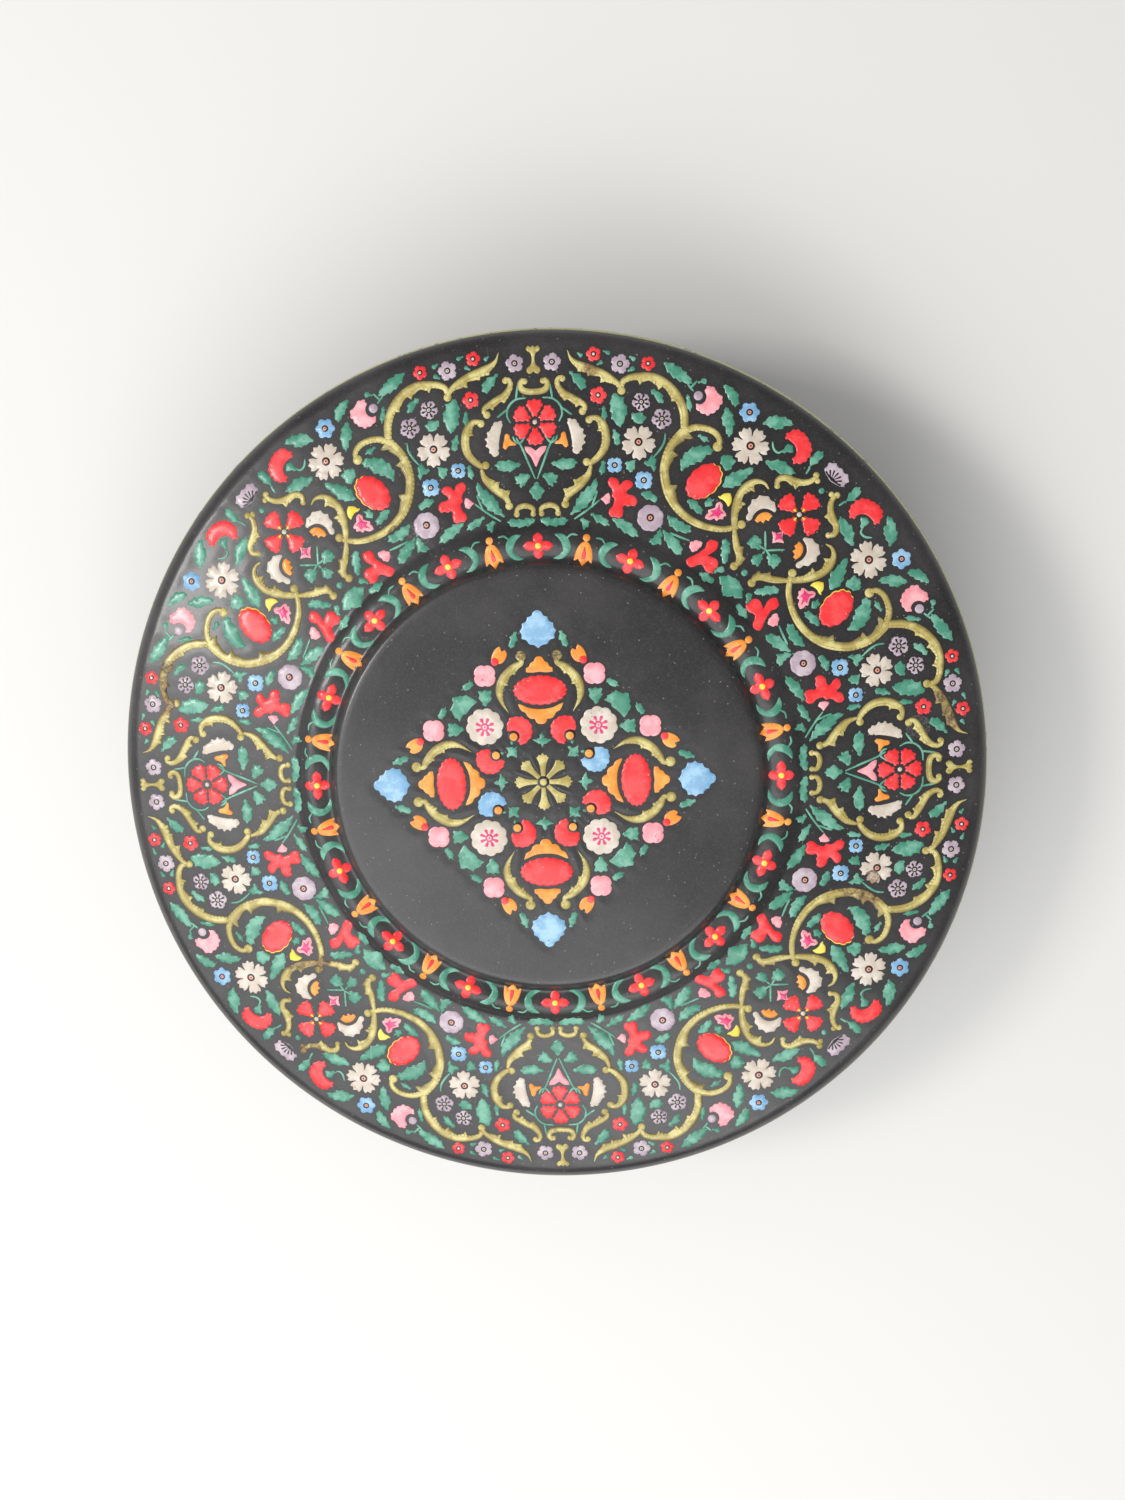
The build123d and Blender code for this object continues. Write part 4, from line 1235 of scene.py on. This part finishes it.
def drawMedallion():
    group = "medallion eighth"
    whole = "medallion quarter"
    flared = [
        (0.72, 1.6), (0.85, 3.6), (1.05, 5.0), (1.45, 6.2), (2.0, 7.3), (1.5, 7.5), (1.15, 8.2),
        (0.55, 8.0), (0, 8.8)
    ]
    ray = flared + [(-x, y) for x, y in reversed(flared[:-1])]
    for angle in (0, 45):
        pad(whole, "gold", clockwise(ray, angle))
    leaf(whole, [
        (0, 14.7), (0.9, 13.2), (3.1, 12.2), (1.1, 11.3), (0.1, 10), (-0.9, 11.4), (-3, 12.2), (-1.0, 13.1)
    ])
    leaf(whole, [
        (7.3, 10.6), (9.1, 10.1), (10.9, 10.6), (10.4, 9.0), (10.9, 7.0), (9.1, 7.4), (7.3, 7.0), (7.7, 8.9)
    ])
    pad(group, "green", [(8.9, 11.0), (9.3, 11.8), (9.0, 12.5), (8.5, 12.3), (8.2, 11.4)], 0.2)
    pad(whole, "red", lobes(0, 26.9, 4.45, 20, 0.06, 90, 0.75, 1.78), 0.24, drawn=False)
    pad(whole, "orange", bothSides([
        (0, 16.9), (1.3, 17.3), (1.9, 18.5), (2.9, 18.5), (3.9, 19.2), (4.5, 20.3), (5.6, 20.9),
        (6.3, 22.0), (6.7, 23.3), (5.6, 22.9), (3.6, 22.0), (1.8, 21.6), (0, 21.5)
    ]))
    pad(whole, "orange", bothSides([
        (0, 36.8), (1.1, 36.4), (1.6, 35.4), (2.6, 34.8), (3.0, 33.9), (3.9, 33.4), (4.0, 32.1), (2, 31.9),
        (0, 32.1)
    ]))
    pad(whole, "blue", bothSides([
        (0, 50.0), (1.3, 49.4), (1.7, 48.5), (3.0, 48.0), (3.3, 46.9), (4.6, 46.2), (4.6, 45.1),
        (5.4, 44.0), (4.8, 43.0), (4.9, 41.7), (3.4, 41.2), (2.6, 40.1), (1.2, 39.8), (0, 38.9)
    ]))
    scroll(group, [
        (5.0, 36.2), (5.2, 34.9), (7.0, 33.9), (9.2, 32.0), (10.9, 29.7), (11.7, 27.0), (11.3, 24.1),
        (9.4, 20.7)
    ], [1.3, 1.9, 2.4, 2.5, 2.4, 2.0, 1.4, 0.6], [(5.2, 36.9, 1.55)], [(7.1, 31.7, 3.0), (9.3, 28.6, 3.0)],
        taper=(1, 0.3))
    pad(group, "orange", [
        (9.1, 37.9), (9.7, 38.9), (10.6, 38.4), (11.1, 40.0), (12.3, 39.3), (13.3, 37.9), (13.8, 35.9),
        (13.4, 34.8), (12.0, 34.6), (10.6, 34.9), (9.4, 36.3)
    ])
    disc(group, "red", 12.7, 35.4, 1.15, 0.06, crest)
    pad(group, "pink", lobes(15.8, 31.4, 3.5, 4, 0.17, 45, 0.6))
    leaf(group, [(6.1, 44.2), (7.3, 43.4), (8.3, 41.8), (8.4, 39.7), (7.9, 38.6), (6.9, 39.9), (6.0, 41.6)])
    leaf(group, [
        (19.3, 29.8), (20.8, 29.8), (22.1, 28.8), (23.3, 27.1), (21.8, 27.4), (19.9, 27.8), (19.2, 28.6)
    ])
    leaf(group, [
        (16.1, 22.3), (17.6, 24.6), (18.0, 26.9), (16.8, 27.1), (15.9, 27.5), (15.0, 27.1), (13.9, 26.9),
        (14.1, 25.2), (14.6, 23.8)
    ])
    leaf(whole, acrossDiagonal([
        (25.5, 25.5), (23.3, 25.7), (21.5, 26.3), (20.0, 25.2), (18.1, 23.6), (19.9, 22.5), (21.2, 21.2)
    ]))
    pad(whole, "cream", lobes(16.6, 16.4, 5.6, 10, 0.11, 60), drawn=False)
    for i in range(8):
        petal(whole, "magenta", 16.5, 16.4, 22.5 + 45 * i, 0.7, 2.8, 0.5, 0.0, 0.05, crest)
    for finish, radius, above in (("magenta", 1.2, 0.02), ("cream", 0.78, 0.06), ("magenta", 0.4, 0.1)):
        disc(whole, finish, 16.5, 16.4, radius, 0.05, crest + above)
    carnation = [
        (4.6, 18.8), (6, 19.4), (7.5, 19.4), (9.1, 19), (9.7, 17.8), (10.1, 16.6), (9.8, 14.9), (8.6, 15.1),
        (7.1, 14.6), (6.7, 13.2), (7.1, 12.0), (6.3, 11), (5.0, 11.3), (4.0, 12.2), (2.9, 13.6),
        (2.6, 15.5), (3.0, 17.3)
    ]
    for turn in range(4):
        for mirrored in (False, True):
            finish = "blue" if mirrored and turn in (0, 2) else "red"
            points = [(y, x) if mirrored else (x, y) for x, y in carnation]
            pad("medallion once", finish, clockwise(points, -90 * turn), frill=(1.9, 0.35))
    disc(group, "dark", 8.1, 13.6, 1.65, 0.06, crest)
    disc(group, "orange", 8.15, 13.5, 1.25, 0.1, crest + 0.03)
    disc(whole + " hub", "dark", 0, 0, 1.55, 0.06, crest)
    disc(whole + " hub", "gold", 0, 0, 1.1, 0.1, crest + 0.04)


def makeRepeatTree():
    # turns copies of a motif sheet round the axis, each with its mirror image if asked
    tree = bpy.data.node_groups.new("repeatRound", "GeometryNodeTree")
    tree.interface.new_socket("Geometry", in_out="OUTPUT", socket_type="NodeSocketGeometry")
    kinds = {"Geometry": "Geometry", "Copies": "Int", "Mirrored": "Bool", "Finish": "Material"}
    for name, kind in kinds.items():
        tree.interface.new_socket(name, in_out="INPUT", socket_type="NodeSocket" + kind)
    make = tree.nodes.new
    start, end = make("NodeGroupInput"), make("NodeGroupOutput")
    image = make("GeometryNodeTransform")
    image.inputs["Scale"].default_value = (-1, 1, 1)
    flipped = make("GeometryNodeFlipFaces")
    choice = make("GeometryNodeSwitch")
    choice.input_type = "GEOMETRY"
    pair = make("GeometryNodeJoinGeometry")
    spots = make("GeometryNodeMeshLine")
    spots.inputs["Offset"].default_value = (0, 0, 0)
    place = make("GeometryNodeInputIndex")
    share = make("ShaderNodeMath")
    share.operation = "DIVIDE"
    angle = make("ShaderNodeMath")
    angle.operation = "MULTIPLY"
    angle.inputs[1].default_value = fullTurn
    spin = make("ShaderNodeCombineXYZ")
    copies = make("GeometryNodeInstanceOnPoints")
    real = make("GeometryNodeRealizeInstances")
    paint = make("GeometryNodeSetMaterial")
    links = [
        (start, "Geometry", image, "Geometry"), (image, 0, flipped, 0),
        (start, "Mirrored", choice, "Switch"), (flipped, 0, choice, "True"), (choice, 0, pair, 0),
        (start, "Geometry", pair, 0), (start, "Copies", spots, "Count"), (place, 0, share, 0),
        (start, "Copies", share, 1), (share, 0, angle, 0), (angle, 0, spin, "Z"),
        (spots, 0, copies, "Points"), (pair, 0, copies, "Instance"), (spin, 0, copies, "Rotation"),
        (copies, 0, real, 0), (real, 0, paint, "Geometry"), (start, "Finish", paint, "Material"),
        (paint, 0, end, 0),
    ]
    for origin, leaving, target, entering in links:
        tree.links.new(origin.outputs[leaving], target.inputs[entering])
    return tree


def repeatSheet(tree, name, parts, copies, mirrored, finish, shift):
    verts, faces, values = parts
    sheet = bpy.data.meshes.new(name)
    sheet.from_pydata(verts, [], faces)
    sheet.polygons.foreach_set("use_smooth", [True] * len(faces))
    for trait in traits:
        numbers = np.array(values[trait], np.float32)
        sheet.attributes.new(trait, "FLOAT", "POINT").data.foreach_set("value", numbers)
    holder = bpy.data.objects.new(name, sheet)
    bpy.context.scene.collection.objects.link(holder)
    step = holder.modifiers.new("repeatRound", "NODES")
    step.node_group = tree
    wanted = {"Copies": copies, "Mirrored": mirrored, "Finish": finish}
    for item in tree.interface.items_tree:
        if item.in_out == "INPUT" and item.name in wanted:
            step[item.identifier] = wanted[item.name]
    seen = holder.evaluated_get(bpy.context.evaluated_depsgraph_get())
    result = bpy.data.meshes.new_from_object(seen)
    holder.modifiers.clear()
    holder.data = result
    result.transform(Matrix.Translation((shift[0] * mm, shift[1] * mm, 0)))
    return holder


drawGoldScrolls()
drawFlowers()
drawBlooms()
drawGreenery()
drawRing()
drawMedallion()
print("motif sheets drawn:", len(stock))

# for each group: how many copies round the axis, and whether each has a mirror image
repeats = {
    "eighth": (4, True), "quarter": (4, False), "ring": (16, False),
    "medallion eighth": (4, True), "medallion quarter": (4, False),
    "medallion once": (1, False), "medallion quarter hub": (1, False),
}
repeatTree = makeRepeatTree()
reliefs = []
for finishName in sorted({finish for _, finish in stock}):
    sheets = []
    for (group, finish), parts in stock.items():
        if finish == finishName:
            copies, mirrored = repeats[group]
            shift = pattern["medallionCentre"] if group.startswith("medallion") else (0, 0)
            name, paint = finishName + "_relief", finishes[finishName]
            sheets.append(repeatSheet(repeatTree, name, parts, copies, mirrored, paint, shift))
    chosen = {"selected_objects": sheets, "selected_editable_objects": sheets}
    with bpy.context.temp_override(active_object=sheets[0], object=sheets[0], **chosen):
        bpy.ops.object.join()
    relief = sheets[0]
    relief.name = finishName + "_relief"
    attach(relief, "lid")
    reliefs.append(relief)
    print(relief.name, "triangles", triangles(relief.data))

motifPoints = KDTree(sum(len(relief.data.vertices) for relief in reliefs))
for relief in reliefs:
    for vertex in relief.data.vertices:
        motifPoints.insert(vertex.co, 0)
motifPoints.balance()
buildLid(motifPoints)
print("lid turned")
